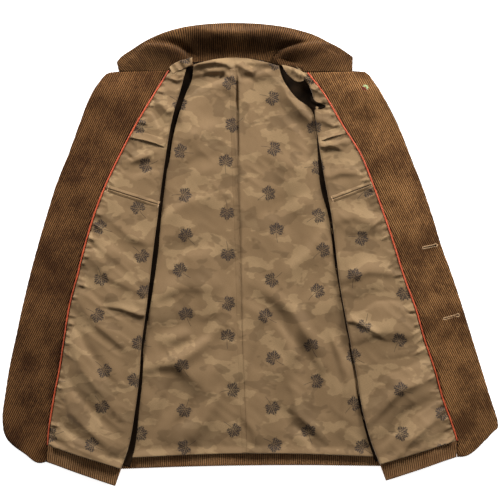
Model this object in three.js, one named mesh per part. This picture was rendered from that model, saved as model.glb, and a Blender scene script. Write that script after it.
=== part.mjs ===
// A single-breasted corduroy jacket, laid open on its back with the lining up.
// Millimetres, +Z up. The collar points to +Y, and the wearer's right front lies on the -X side.
// The origin is at the middle of the footprint, on the surface that the jacket lies on.
import * as THREE from "three";

// Driving dimensions
const CORD = 1.8; // corduroy wall
const LINING = 1.0; // lining wall
const SEAM = 0.3; // clearance between two walls that are sewn together
const LAY = 0.6; // clearance between two walls that lie on each other
const SLEEVE_LENGTH = 585; // from the foot of the crown to the cuff edge
const SLEEVE_CROWN = 24;
const SLEEVE_TOP_Y = 256; // the foot of the crown
const SLEEVE_HEAD_HALF = 82; // half the flattened width at the head
const CUFF_HALF = 66; // half the flattened width at the cuff
const SLEEVE_HEIGHT = 6; // two layers of cloth that lie on each other
const SLEEVE_HEAD_X = 168;
const SLEEVE_CUFF_X = 246;
const SLEEVE_MARGIN = 20; // how far past a sleeve's edge the cloth over it stays level
const SLEEVE_RAMP = 34; // and how far it then takes to come down, beside the sleeve
const CUFF_RAMP = 80; // and past its cuff
const FOLD_RADIUS = 2.5; // of the cloth's middle, where a front turns under at the side
const PIPING_RADIUS = 1.4;
const WELT_WIDTH = 6;
const BUTTON_RADIUS = 10;
const BUTTON_HEIGHT = 3.6;
const NECK_HALF = 112; // where the shoulder line meets the neck
const NECK_Y = 346;
const SHOULDER_Y = 292; // the height of the shoulder points
const SHOULDER_SLOPE = 0.43; // the shoulder line's fall for each millimetre away from the neck
const SEAM_DIP = 2.3; // how far each wall bends toward the other where they meet at a side seam
const STEP_START = 3; // how far outside its side panel a front begins to come down to the table
const STEP_REACH = 66; // and how far it takes
const FOLD_BLEND = 22; // how far from its side fold a front lies level with the fold
const LINING_REST = 0.8; // clearance of a front's lining over its front

// Heights of the stacked layers' middles above the ground that the sleeves make
const BACK_Z = 0.4 + CORD / 2;
const SLEEVE_LINING_Z = 3.7;
const BACK_LINING_Z = 5.8;
const UNDER_Z = 8.6;
const TOP_Z = UNDER_Z + 2 * FOLD_RADIUS;
const FRONT_FLOOR_Z = CORD / 2;

const mix = (a, b, t) => a + (b - a) * t;
const clamp = (v, low, high) => Math.min(high, Math.max(low, v));
const ease = (t) => {
  const c = clamp(t, 0, 1);
  return c * c * (3 - 2 * c);
};

// One row for each station down a front, from the gorge to the hem. Each row names where the front edge,
// the piping, the side fold and the side seam lie.
const RIGHT_FRONT = [
  { edge: [-269, 336], piping: [-149, 336], fold: [-114, 346], side: [-236, 299] },
  { edge: [-293, 293], piping: [-177, 293], fold: [-127, 299], side: [-245, 262] },
  { edge: [-315, 238], piping: [-210, 238], fold: [-142, 247], side: [-241, 211] },
  { edge: [-335, 183], piping: [-239, 183], fold: [-153, 190], side: [-250, 155] },
  { edge: [-357, 128], piping: [-265, 128], fold: [-162, 128], side: [-272, 108] },
  { edge: [-374, 73], piping: [-287, 71], fold: [-169, 71], side: [-280, 56] },
  { edge: [-390, 17], piping: [-304, 14], fold: [-177, 10], side: [-285, 5] },
  { edge: [-405, -38], piping: [-318, -41], fold: [-184, -49], side: [-289, -49] },
  { edge: [-418, -93], piping: [-333, -98], fold: [-191, -108], side: [-293, -106] },
  { edge: [-430, -148], piping: [-342, -154], fold: [-199, -167], side: [-294, -163] },
  { edge: [-442, -203], piping: [-351, -211], fold: [-206, -225], side: [-296, -220] },
  { edge: [-451, -259], piping: [-362, -266], fold: [-213, -282], side: [-298, -277] },
  { edge: [-456, -305], piping: [-370, -317], fold: [-224, -347], side: [-300, -338] },
  { edge: [-447, -341], piping: [-373, -351], fold: [-239, -393], side: [-300, -378] },
  { edge: [-410, -371], piping: [-375, -382], fold: [-250, -425], side: [-300, -400] },
];
const LEFT_FRONT = [
  { edge: [215, 336], piping: [106, 334], fold: [88, 335], side: [224, 295] },
  { edge: [243, 293], piping: [138, 292], fold: [116, 297], side: [236, 262] },
  { edge: [272, 238], piping: [171, 236], fold: [123, 244], side: [232, 211] },
  { edge: [294, 183], piping: [204, 183], fold: [131, 189], side: [241, 155] },
  { edge: [316, 128], piping: [226, 128], fold: [142, 126], side: [261, 108] },
  { edge: [335, 73], piping: [247, 71], fold: [153, 67], side: [270, 56] },
  { edge: [352, 17], piping: [266, 14], fold: [160, 8], side: [276, 5] },
  { edge: [372, -38], piping: [283, -41], fold: [167, -51], side: [280, -49] },
  { edge: [390, -93], piping: [304, -98], fold: [177, -108], side: [283, -106] },
  { edge: [407, -148], piping: [320, -154], fold: [188, -167], side: [287, -163] },
  { edge: [424, -203], piping: [339, -209], fold: [199, -225], side: [291, -220] },
  { edge: [441, -259], piping: [354, -262], fold: [208, -281], side: [293, -277] },
  { edge: [456, -310], piping: [372, -312], fold: [224, -341], side: [294, -338] },
  { edge: [444, -330], piping: [381, -343], fold: [241, -385], side: [294, -374] },
  { edge: [421, -361], piping: [381, -373], fold: [252, -415], side: [294, -395] },
];

// One row for each station down the back, from the neck to the hem: its right and left edges, how far the
// middle hangs below the line between them, and the edges of its lining.
const BACK = [
  { right: [-112, 346], left: [94, 338], dip: 18, liningRight: [-104, 344], liningLeft: [53, 342] },
  { right: [-182, 317], left: [166, 314], dip: 10, liningRight: [-110, 322], liningLeft: [64, 316] },
  { right: [-238, 292], left: [226, 289], dip: 0, liningRight: [-122, 296], liningLeft: [90, 287] },
  { right: [-243, 262], left: [234, 260], dip: 0, liningRight: [-133, 264], liningLeft: [117, 262] },
  { right: [-241, 211], left: [232, 209], dip: 0, liningRight: [-146, 214], liningLeft: [124, 210] },
  { right: [-250, 155], left: [241, 155], dip: 0, liningRight: [-155, 158], liningLeft: [132, 158] },
  { right: [-274, 108], left: [263, 108], dip: 0, liningRight: [-178, 108], liningLeft: [158, 108] },
  { right: [-280, 40], left: [270, 40], dip: 0, liningRight: [-205, 40], liningLeft: [188, 40] },
  { right: [-288, -40], left: [279, -40], dip: 0, liningRight: [-215, -40], liningLeft: [198, -40] },
  { right: [-294, -130], left: [286, -130], dip: 0, liningRight: [-226, -130], liningLeft: [214, -130] },
  { right: [-297, -230], left: [291, -230], dip: 0, liningRight: [-238, -230], liningLeft: [232, -230] },
  { right: [-299, -316], left: [293, -314], dip: 3, liningRight: [-252, -316], liningLeft: [250, -314] },
  { right: [-300, -376], left: [294, -373], dip: 10, liningRight: [-256, -376], liningLeft: [254, -373] },
  { right: [-300, -397], left: [294, -390], dip: 5, liningRight: [-262, -397], liningLeft: [262, -390] },
];

// One row for each station round the collar, from its right end to its left: where its seam edge and its
// outer edge lie, and the height of the cloth at the roll and at the outer edge.
const COLLAR = [
  { seamX: -241, outer: [-245, 354], rollZ: 9, outerZ: 5 },
  { seamX: -221, outer: [-236, 365], rollZ: 12, outerZ: 6 },
  { seamX: -197, outer: [-213, 380], rollZ: 16, outerZ: 8 },
  { seamX: -171, outer: [-188, 395], rollZ: 18, outerZ: 9 },
  { seamX: -145, outer: [-160, 407], rollZ: 19, outerZ: 10 },
  { seamX: -127, outer: [-132, 415], rollZ: 16, outerZ: 11 },
  { seamX: -110, outer: [-105, 420], rollZ: 9, outerZ: 12 },
  { seamX: -79, outer: [-74, 424], rollZ: 6, outerZ: 13 },
  { seamX: -44, outer: [-37, 426], rollZ: 6, outerZ: 13 },
  { seamX: 0, outer: [4, 425], rollZ: 8, outerZ: 13 },
  { seamX: 29, outer: [37, 422], rollZ: 7, outerZ: 13 },
  { seamX: 52, outer: [66, 418], rollZ: 7, outerZ: 12 },
  { seamX: 76, outer: [92, 412], rollZ: 10, outerZ: 11 },
  { seamX: 98, outer: [118, 404], rollZ: 18, outerZ: 10 },
  { seamX: 129, outer: [144, 391], rollZ: 18, outerZ: 9 },
  { seamX: 162, outer: [167, 379], rollZ: 14, outerZ: 8 },
  { seamX: 188, outer: [189, 364], rollZ: 9, outerZ: 6 },
];
const COLLAR_GAP = 1.5; // from the neck seam to the collar's middle plane edge

// One row for each station down the mouth of a sleeve's lining, which shows dark between the back's lining
// and the front's: its edge under the back's lining and its edge under the front.
const RIGHT_MOUTH = [
  { inner: [-92, 330], outer: [-148, 322] },
  { inner: [-98, 290], outer: [-165, 290] },
  { inner: [-114, 240], outer: [-180, 240] },
  { inner: [-128, 180], outer: [-190, 180] },
  { inner: [-142, 120], outer: [-200, 115] },
];
const LEFT_MOUTH = [
  { inner: [36, 322], outer: [132, 314] },
  { inner: [60, 290], outer: [152, 286] },
  { inner: [88, 245], outer: [164, 240] },
  { inner: [104, 180], outer: [170, 175] },
  { inner: [118, 118], outer: [180, 112] },
];

// Broad folds of the lining: where each ridge starts and ends, how wide it is and how high it stands.
const BACK_FOLDS = [
  { from: [-75, 345], to: [-20, 300], width: 16, height: 7 },
  { from: [40, 320], to: [105, 215], width: 20, height: 8 },
  { from: [-105, 270], to: [-80, 120], width: 26, height: 7 },
  { from: [-42, 330], to: [-36, 40], width: 14, height: 4 },
  { from: [80, 180], to: [105, 20], width: 24, height: 6 },
  { from: [-120, 60], to: [-60, -110], width: 26, height: 7 },
  { from: [20, 120], to: [60, -60], width: 28, height: 5 },
  { from: [-160, -120], to: [-60, -250], width: 26, height: 8 },
  { from: [110, -60], to: [60, -220], width: 26, height: 7 },
  { from: [150, -150], to: [190, -320], width: 24, height: 6 },
  { from: [-30, -160], to: [30, -330], width: 28, height: 6 },
  { from: [-190, -260], to: [-110, -350], width: 22, height: 6 },
];
const RIGHT_LINING_FOLDS = [
  { from: [-185, 270], to: [-150, 250], width: 14, height: 4 },
  { from: [-225, 170], to: [-165, 150], width: 14, height: 5 },
  { from: [-295, 30], to: [-215, -20], width: 16, height: 5 },
  { from: [-320, -60], to: [-215, -110], width: 16, height: 6 },
  { from: [-335, -130], to: [-225, -250], width: 16, height: 7 },
  { from: [-345, -190], to: [-240, -330], width: 16, height: 7 },
  { from: [-355, -270], to: [-270, -370], width: 14, height: 6 },
];
const LEFT_LINING_FOLDS = [
  { from: [130, 275], to: [160, 235], width: 14, height: 5 },
  { from: [150, 160], to: [205, 150], width: 12, height: 4 },
  { from: [170, 30], to: [245, 60], width: 18, height: 5 },
  { from: [185, -45], to: [275, -10], width: 16, height: 6 },
  { from: [205, -150], to: [300, -110], width: 16, height: 6 },
  { from: [235, -320], to: [330, -200], width: 18, height: 8 },
  { from: [290, -360], to: [355, -300], width: 14, height: 6 },
];
const FACING_WAVES = [
  { from: [-300, 300], to: [-190, 270], width: 26, height: 4 },
  { from: [-345, 170], to: [-270, 90], width: 28, height: 3 },
  { from: [-400, -90], to: [-340, -60], width: 30, height: 3 },
  { from: [-440, -260], to: [-375, -230], width: 30, height: 3 },
  { from: [240, 310], to: [150, 285], width: 24, height: 4 },
  { from: [295, 190], to: [215, 150], width: 26, height: 4 },
  { from: [350, 40], to: [270, 60], width: 28, height: 3 },
  { from: [400, -130], to: [320, -100], width: 28, height: 3 },
  { from: [430, -260], to: [360, -220], width: 28, height: 3 },
];

// The two buttons are sewn to the outside of the right front, which lies over them.
const BUTTONS = [
  { name: "button_upper", x: -368, y: 10 },
  { name: "button_lower", x: -395, y: -119 },
];
const BUTTON_LIFT = { height: BUTTON_HEIGHT + 2, flat: 18, reach: 60 };

function ridges(folds, x, y) {
  let total = 0;
  for (const { from, to, width, height } of folds) {
    const dx = to[0] - from[0];
    const dy = to[1] - from[1];
    const along = ((x - from[0]) * dx + (y - from[1]) * dy) / (dx * dx + dy * dy);
    const near = clamp(along, 0, 1);
    const off = Math.hypot(x - mix(from[0], to[0], near), y - mix(from[1], to[1], near));
    const taper = 0.45 + 0.55 * Math.sin(Math.PI * near);
    total += height * taper * Math.exp(-((off / width) ** 2));
  }
  return total;
}

// The flattened sleeve's middle and half width at a height y.
function sleeveAt(y) {
  const t = clamp((SLEEVE_TOP_Y - y) / SLEEVE_LENGTH, 0, 1);
  return { x: mix(SLEEVE_HEAD_X, SLEEVE_CUFF_X, t), half: mix(SLEEVE_HEAD_HALF, CUFF_HALF, t) };
}

// The ground that the body's cloth lies on: the table, and the two sleeves folded behind the back.
function ground(x, y) {
  const sleeve = sleeveAt(y);
  const off = Math.abs(Math.abs(x) - sleeve.x) - sleeve.half;
  const across = 1 - ease((off - SLEEVE_MARGIN) / SLEEVE_RAMP);
  const above = 1 - clamp((y - SHOULDER_Y) / (NECK_Y - SHOULDER_Y), 0, 1);
  const below = 1 - ease((SLEEVE_TOP_Y - SLEEVE_LENGTH - SLEEVE_MARGIN - y) / CUFF_RAMP);
  return SLEEVE_HEIGHT * across * above * below;
}

// The height of a front's upper layer: it lies over its own side panel and comes down to the table outside it.
function frontHeight(x, y, sideX, foldOff) {
  const pastSide = Math.abs(x) - Math.abs(sideX);
  const pastShoulder = (y - NECK_Y + (Math.abs(x) - NECK_HALF) * SHOULDER_SLOPE) / Math.hypot(1, SHOULDER_SLOPE);
  const outside = Math.max(pastSide, pastShoulder) - STEP_START;
  const step = (TOP_Z - FRONT_FLOOR_Z) * (1 - ease(outside / STEP_REACH));
  const waves = ridges(FACING_WAVES, x, y) * ease((foldOff - FOLD_BLEND / 2) / (2 * FOLD_BLEND));
  let lift = 0;
  for (const button of BUTTONS) {
    const off = Math.hypot(x - button.x, y - button.y);
    lift = Math.max(lift, BUTTON_LIFT.height * (1 - ease((off - BUTTON_LIFT.flat) / BUTTON_LIFT.reach)));
  }
  return ground(x, y) + FRONT_FLOOR_Z + step + Math.max(waves, lift);
}

const curvesOf = (rows, keys) =>
  Object.fromEntries(
    keys.map((key) => [
      key,
      new THREE.CatmullRomCurve3(rows.map((row) => new THREE.Vector3(row[key][0], row[key][1], 0))),
    ]),
  );

// The station along a table's curve, as a share of its rows.
const stations = (count, first = 0, last = 1) =>
  Array.from({ length: count }, (_, i) => mix(first, last, i / (count - 1)));

// The middle of one front's cloth, as a grid: across from the front edge, over the side fold and back
// under to the side seam, and down from the gorge to the hem.
function frontGrid(rows, down, across) {
  const curves = curvesOf(rows, ["edge", "piping", "fold", "side"]);
  return down.map((v, i) => {
    const edge = curves.edge.getPoint(v);
    const piping = curves.piping.getPoint(v);
    const fold = curves.fold.getPoint(v);
    const side = curves.side.getPoint(v);
    const inward = fold.clone().sub(piping).normalize();
    const turn = fold.clone().addScaledVector(inward, -FOLD_RADIUS);
    const line = [];
    const upper = (p) => {
      const foldOff = p.distanceTo(fold);
      const z = frontHeight(p.x, p.y, side.x, foldOff);
      const level = 1 - ease(foldOff / FOLD_BLEND);
      line.push(new THREE.Vector3(p.x, p.y, mix(z, ground(fold.x, fold.y) + TOP_Z, level)));
    };
    for (const t of across.facing) upper(edge.clone().lerp(piping, t));
    for (const t of across.lining) upper(piping.clone().lerp(turn, t));
    const centre = ground(fold.x, fold.y) + (TOP_Z + UNDER_Z) / 2;
    for (const angle of across.turn) {
      const p = turn.clone().addScaledVector(inward, FOLD_RADIUS * Math.sin(angle));
      p.z = centre + FOLD_RADIUS * Math.cos(angle);
      line.push(p);
    }
    for (const t of across.under) {
      const p = turn.clone().lerp(side, t);
      const seam = i === 0 || t === 1 ? SEAM_DIP : 0;
      p.z = mix(ground(fold.x, fold.y), ground(p.x, p.y), ease(t * 3)) + UNDER_Z - seam;
      line.push(p);
    }
    return line;
  });
}

// The middle of a sheet between two side curves, with a height for each point.
function bandGrid(start, end, down, across, heightAt, dip = () => 0) {
  return down.map((v) => {
    const a = start(v);
    const b = end(v);
    return across.map((t) => {
      const p = a.clone().lerp(b, t);
      p.y += dip(v) * Math.sin(Math.PI * t);
      p.z = heightAt(p.x, p.y, t, v);
      return p;
    });
  });
}

// Unit normals of a grid. They point to the side where the cloth's lining lies.
function normalsOf(grid, sign) {
  return grid.map((line, i) =>
    line.map((_, j) => {
      const down = grid[Math.min(i + 1, grid.length - 1)][j].clone().sub(grid[Math.max(i - 1, 0)][j]);
      const over = line[Math.min(j + 1, line.length - 1)].clone().sub(line[Math.max(j - 1, 0)]);
      return down.cross(over).normalize().multiplyScalar(sign);
    }),
  );
}

// A closed wall between two distances from a grid, along its normals.
function wall(name, grid, sign, low, high, colour) {
  const at = (d, i, j) => (typeof d === "function" ? d(i, j) : d);
  const normals = normalsOf(grid, sign);
  const rows = grid.length;
  const columns = grid[0].length;
  const positions = [];
  for (const d of [low, high])
    grid.forEach((line, i) =>
      line.forEach((p, j) => positions.push(...p.clone().addScaledVector(normals[i][j], at(d, i, j)).toArray())),
    );
  const index = (layer, i, j) => layer * rows * columns + i * columns + j;
  const faces = [];
  const quad = (a, b, c, d) => faces.push(a, b, c, a, c, d);
  for (let i = 0; i + 1 < rows; i++)
    for (let j = 0; j + 1 < columns; j++) {
      quad(index(1, i, j), index(1, i + 1, j), index(1, i + 1, j + 1), index(1, i, j + 1));
      quad(index(0, i, j), index(0, i, j + 1), index(0, i + 1, j + 1), index(0, i + 1, j));
    }
  for (let i = 0; i + 1 < rows; i++) {
    quad(index(0, i, 0), index(0, i + 1, 0), index(1, i + 1, 0), index(1, i, 0));
    const last = columns - 1;
    quad(index(0, i + 1, last), index(0, i, last), index(1, i, last), index(1, i + 1, last));
  }
  for (let j = 0; j + 1 < columns; j++) {
    quad(index(0, 0, j + 1), index(0, 0, j), index(1, 0, j), index(1, 0, j + 1));
    const last = rows - 1;
    quad(index(0, last, j), index(0, last, j + 1), index(1, last, j + 1), index(1, last, j));
  }
  if (sign < 0) faces.reverse();
  return piece(name, positions, faces, colour);
}

function piece(name, positions, faces, colour) {
  const geometry = new THREE.BufferGeometry();
  geometry.setAttribute("position", new THREE.Float32BufferAttribute(positions, 3));
  geometry.setIndex(faces);
  geometry.computeVertexNormals();
  const material = new THREE.MeshStandardMaterial({ color: colour, roughness: 0.9, metalness: 0 });
  const mesh = new THREE.Mesh(geometry, material);
  mesh.name = name;
  return mesh;
}

const BROWN = 0x6b4526;
const KHAKI = 0x8f7350;
const DARK = 0x2e2219;
const ORANGE = 0xe0592a;
const HORN = 0x3b2a1c;

const group = new THREE.Group();

// Fronts, facings, linings, hems, piping and pocket welts
const ACROSS = {
  facing: [0, 0.2, 0.4, 0.6, 0.8, 1],
  lining: [0.17, 0.34, 0.51, 0.68, 0.85, 1],
  turn: [0.25, 0.5, 0.75, 1].map((share) => share * Math.PI),
  under: [0.12, 0.4, 0.7, 1],
};
const PIPING_COLUMN = ACROSS.facing.length - 1;
const TURN_COLUMN = PIPING_COLUMN + ACROSS.lining.length;
const LINING_LAST = 17; // the lining ends two stations above the hem
const LINING_SHARE = 13 / 14; // the table's row where it ends, as a share of the table
const DOWN = [...stations(LINING_LAST + 1, 0, LINING_SHARE), (1 + LINING_SHARE) / 2, 1];
const PIPING_GAP = PIPING_RADIUS + 0.9;
const HEM_OVERLAP = 0.3; // how many stations the hem's cloth reaches up under the lining
const slice = (grid, i0, i1, j0, j1) => grid.slice(i0, i1 + 1).map((line) => line.slice(j0, j1 + 1));

// A grid whose first and last columns are drawn in from its edges by a distance.
function drawnIn(grid, first, last) {
  return grid.map((line) => {
    const copy = line.map((p) => p.clone());
    const end = copy.length - 1;
    const toward = (p, q, d) => p.add(q.clone().sub(p).setLength(d));
    if (first) toward(copy[0], line[1], first);
    if (last) toward(copy[end], line[end - 1], last);
    return copy;
  });
}

// A point on a grid's faces, at fractional row and column.
function onGrid(grid, i, j) {
  const i0 = clamp(Math.floor(i), 0, grid.length - 2);
  const j0 = clamp(Math.floor(j), 0, grid[0].length - 2);
  const upper = grid[i0][j0].clone().lerp(grid[i0][j0 + 1], j - j0);
  const lower = grid[i0 + 1][j0].clone().lerp(grid[i0 + 1][j0 + 1], j - j0);
  return upper.lerp(lower, i - i0);
}

// Each inside pocket's mouth: its row on the lining's grid beside the piping and beside the fold.
const POCKETS = {
  right: { fromRow: 5.36, toRow: 6.08, fromColumn: 0.3, toColumn: 5.8 },
  left: { fromRow: 5.19, toRow: 5.75, fromColumn: 0.3, toColumn: 5.8 },
};
const ROW_LENGTH = 43; // between two stations of a front
const WELT_REST = 0.5; // clearance of a welt over the lining
const WELT_SLIT = 0.01; // half the opening between the welts, as a share of a row

function welts(side, lining, sign) {
  const { fromRow, toRow, fromColumn, toColumn } = POCKETS[side];
  const width = WELT_WIDTH / ROW_LENGTH;
  for (const [name, start] of [["upper", -width - WELT_SLIT], ["lower", WELT_SLIT]]) {
    const grid = [start, start + width].map((off) =>
      stations(9).map((t) => onGrid(lining, mix(fromRow, toRow, t) + off, mix(fromColumn, toColumn, t))),
    );
    group.add(wall(`${side}_pocket_welt_${name}`, grid, sign, WELT_REST, WELT_REST + LINING, KHAKI));
  }
}

// All the pieces of one front. Those that lie on its cloth are made from its points, moved out.
function frontPieces(side, rows, sign, folds) {
  const grid = frontGrid(rows, DOWN, ACROSS);
  const outside = CORD / 2 + LAY;
  group.add(wall(`${side}_front`, grid, sign, -CORD / 2, CORD / 2, BROWN));

  const facing = drawnIn(slice(grid, 0, grid.length - 1, 0, PIPING_COLUMN), 0, PIPING_GAP);
  group.add(wall(`${side}_facing`, facing, sign, outside, outside + CORD, BROWN));

  const normals = normalsOf(grid, sign);
  const seam = grid.slice(0, LINING_LAST + 1).map((line, i) =>
    line[PIPING_COLUMN].clone().addScaledVector(normals[i][PIPING_COLUMN], outside + PIPING_RADIUS),
  );
  group.add(tube(`${side}_piping`, seam, PIPING_RADIUS, ORANGE));

  const hemRows = [LINING_LAST - HEM_OVERLAP, LINING_LAST, LINING_LAST + 1, LINING_LAST + 2];
  const hemColumns = stations(TURN_COLUMN + 3 - PIPING_COLUMN, PIPING_COLUMN, TURN_COLUMN + 2);
  const hem = drawnIn(hemRows.map((i) => hemColumns.map((j) => onGrid(grid, i, j))), PIPING_GAP, 0);
  group.add(wall(`${side}_front_hem`, hem, sign, outside, outside + CORD, BROWN));

  const lining = drawnIn(slice(grid, 0, LINING_LAST, PIPING_COLUMN, TURN_COLUMN + 2), PIPING_GAP, 0);
  const low = (i, j) => {
    const p = lining[i][j];
    const inside = ease((lining[i].length - 3 - j) / 2) * ease(j / 1.5);
    const overHem = i >= LINING_LAST - 1 ? CORD + LAY : 0;
    return CORD / 2 + LINING_REST + overHem + ridges(folds, p.x, p.y) * inside;
  };
  group.add(wall(`${side}_front_lining`, lining, sign, low, (i, j) => low(i, j) + LINING, KHAKI));
  const liningNormals = normalsOf(lining, sign);
  const surface = lining.map((line, i) =>
    line.map((p, j) => p.clone().addScaledVector(liningNormals[i][j], low(i, j) + LINING)),
  );
  welts(side, surface, sign);
  return grid;
}

// A curve of straight stretches between the stations of a piece.
class Stations extends THREE.Curve {
  constructor(points) {
    super();
    this.points = points;
  }
  getPoint(t) {
    const at = t * (this.points.length - 1);
    const i = clamp(Math.floor(at), 0, this.points.length - 2);
    return this.points[i].clone().lerp(this.points[i + 1], at - i);
  }
  getPointAt(t) {
    return this.getPoint(t);
  }
  getTangentAt(t) {
    return this.getTangent(t);
  }
}

// A closed six-sided tube along a line of points.
function tube(name, points, radius, colour) {
  const corners = stations(7).map((share) => share * 2 * Math.PI);
  const section = new THREE.Shape(
    corners.map((angle) => new THREE.Vector2(radius * Math.cos(angle), radius * Math.sin(angle))),
  );
  const geometry = new THREE.ExtrudeGeometry(section, {
    steps: points.length - 1,
    extrudePath: new Stations(points),
  });
  geometry.deleteAttribute("uv");
  const material = new THREE.MeshStandardMaterial({ color: colour, roughness: 0.6, metalness: 0 });
  const mesh = new THREE.Mesh(geometry, material);
  mesh.name = name;
  return mesh;
}

const rightFront = frontPieces("right", RIGHT_FRONT, 1, RIGHT_LINING_FOLDS);
const leftFront = frontPieces("left", LEFT_FRONT, -1, LEFT_LINING_FOLDS);

// The back, its turned-up hem and its lining
const BACK_LINING_LAST = 17;
const BACK_LINING_SHARE = 12 / 13;
const BACK_DOWN = [...stations(BACK_LINING_LAST + 1, 0, BACK_LINING_SHARE), 1];
const backCurves = curvesOf(BACK, ["right", "left", "liningRight", "liningLeft"]);
const dipCurve = new THREE.CatmullRomCurve3(BACK.map((row) => new THREE.Vector3(row.dip, 0, 0)));
const backDip = (v) => dipCurve.getPoint(v).x;
const LINING_DIP = 0.8; // the lining's share of the back's dip
const OVER_HEM = 0.8; // how much the lining rises over the turned-up hem
const TUCKED = 32; // how far inside the fronts' folds the lining's folds reach their full height

// The height of a grid's sheet over a point, and the ground's where the sheet doesn't reach.
function heightOn(grid, x, y) {
  const point = new THREE.Vector3(x, y, 0);
  const area = (a, b, c) => (b.x - a.x) * (c.y - a.y) - (b.y - a.y) * (c.x - a.x);
  for (let i = 0; i + 1 < grid.length; i++)
    for (let j = 0; j + 1 < grid[i].length; j++) {
      const [a, b, c, d] = [grid[i][j], grid[i + 1][j], grid[i + 1][j + 1], grid[i][j + 1]];
      for (const [p, q, r] of [[a, b, c], [a, c, d]]) {
        const whole = area(p, q, r);
        const [u, v] = [area(point, q, r) / whole, area(p, point, r) / whole];
        if (Math.min(u, v, 1 - u - v) > -0.001) return u * p.z + v * q.z + (1 - u - v) * r.z;
      }
    }
  return ground(x, y) + BACK_Z;
}

const backGrid = bandGrid(
  (v) => backCurves.right.getPoint(v),
  (v) => backCurves.left.getPoint(v),
  BACK_DOWN,
  stations(15),
  (x, y, t) => ground(x, y) + BACK_Z + (t === 0 || t === 1 ? SEAM_DIP : 0),
  backDip,
);
group.add(wall("back", backGrid, 1, -CORD / 2, CORD / 2, BROWN));

const backHem = [BACK_LINING_LAST - 1, BACK_LINING_LAST, BACK_LINING_LAST + 1].map((i) =>
  stations(13, 1, 13).map((j) => onGrid(backGrid, i, j)),
);
group.add(wall("back_hem", backHem, 1, CORD / 2 + LAY, 1.5 * CORD + LAY, BROWN));

// Where a front's fold lies at a height y.
function foldX(rows, y) {
  const below = rows.findIndex((row) => row.fold[1] < y);
  if (below <= 0) return rows[below === 0 ? 0 : rows.length - 1].fold[0];
  const [a, b] = [rows[below - 1].fold, rows[below].fold];
  return mix(a[0], b[0], (y - a[1]) / (b[1] - a[1]));
}

const backLiningGrid = bandGrid(
  (v) => backCurves.liningRight.getPoint(v),
  (v) => backCurves.liningLeft.getPoint(v),
  BACK_DOWN.slice(0, BACK_LINING_LAST + 1),
  stations(19),
  (x, y, t, v) => {
    const inside = Math.min(x - foldX(RIGHT_FRONT, y), foldX(LEFT_FRONT, y) - x);
    const overHem = OVER_HEM * ease((v - BACK_LINING_SHARE + 0.1) / 0.05);
    const bumps = ridges(BACK_FOLDS, x, y) * ease((inside - TUCKED / 4) / (0.75 * TUCKED));
    return heightOn(backGrid, x, y) + BACK_LINING_Z - BACK_Z + overHem + bumps;
  },
  (v) => backDip(v) * LINING_DIP,
);
group.add(wall("back_lining", backLiningGrid, 1, -LINING / 2, LINING / 2, KHAKI));

// The sleeves' linings, where the armholes show
for (const [side, rows, sign] of [["right", RIGHT_MOUTH, -1], ["left", LEFT_MOUTH, 1]]) {
  const curves = curvesOf(rows, ["inner", "outer"]);
  const grid = bandGrid(
    (v) => curves.inner.getPoint(v),
    (v) => curves.outer.getPoint(v),
    stations(10),
    stations(8),
    (x, y) => heightOn(backGrid, x, y) + SLEEVE_LINING_Z - BACK_Z,
  );
  group.add(wall(`${side}_sleeve_lining`, grid, sign, -LINING / 2, LINING / 2, DARK));
}

// The collar: two walls of the same cut, one on the other. Its seam edge follows the tops of the fronts and
// of the back, at the height of their facings.
const topOf = (line, up) => line.map((p) => new THREE.Vector3(p.x, p.y, p.z + up));
const neckTops = [
  ...topOf(rightFront[0].slice(0, TURN_COLUMN + 1), CORD + LAY),
  ...topOf(backGrid[0], CORD + SEAM),
  ...topOf(leftFront[0].slice(0, TURN_COLUMN + 1).reverse(), CORD + LAY),
].sort((a, b) => a.x - b.x);
function neckAt(x) {
  const i = neckTops.findIndex((p) => p.x > x);
  const [a, b] = [neckTops[i - 1], neckTops[i]];
  return a.clone().lerp(b, (x - a.x) / (b.x - a.x));
}
const collarCurve = new THREE.CatmullRomCurve3(
  COLLAR.map(({ outer }) => new THREE.Vector3(outer[0], outer[1], 0)),
);
const collarShape = new THREE.CatmullRomCurve3(
  COLLAR.map(({ seamX, rollZ, outerZ }) => new THREE.Vector3(seamX, rollZ, outerZ)),
);
const collarGrid = bandGrid(
  (v) => neckAt(collarShape.getPoint(v).x).add(new THREE.Vector3(0, COLLAR_GAP, 0)),
  (v) => collarCurve.getPoint(v),
  stations(27),
  stations(6),
  (x, y, t, v) => {
    const { x: seamX, y: rollZ, z: outerZ } = collarShape.getPoint(v);
    return (1 - t) * (1 - 2 * t) * neckAt(seamX).z + 4 * t * (1 - t) * rollZ + t * (2 * t - 1) * outerZ;
  },
);
group.add(wall("top_collar", collarGrid, 1, -CORD / 2, CORD / 2, BROWN));
group.add(wall("under_collar", collarGrid, 1, -1.5 * CORD - SEAM, -CORD / 2 - SEAM, BROWN));

// The sleeves: flattened tubes, open at the head and at the cuff
const SLEEVE_SIDES = 16;
const SLEEVE_RINGS = 10;
const SLEEVE_FLAT = 0.9; // the share of its roundness at which a sleeve's cloth lies flat
const CROWN_FADE = 6; // how fast the crown's curve fades down the sleeve, as a power

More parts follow.
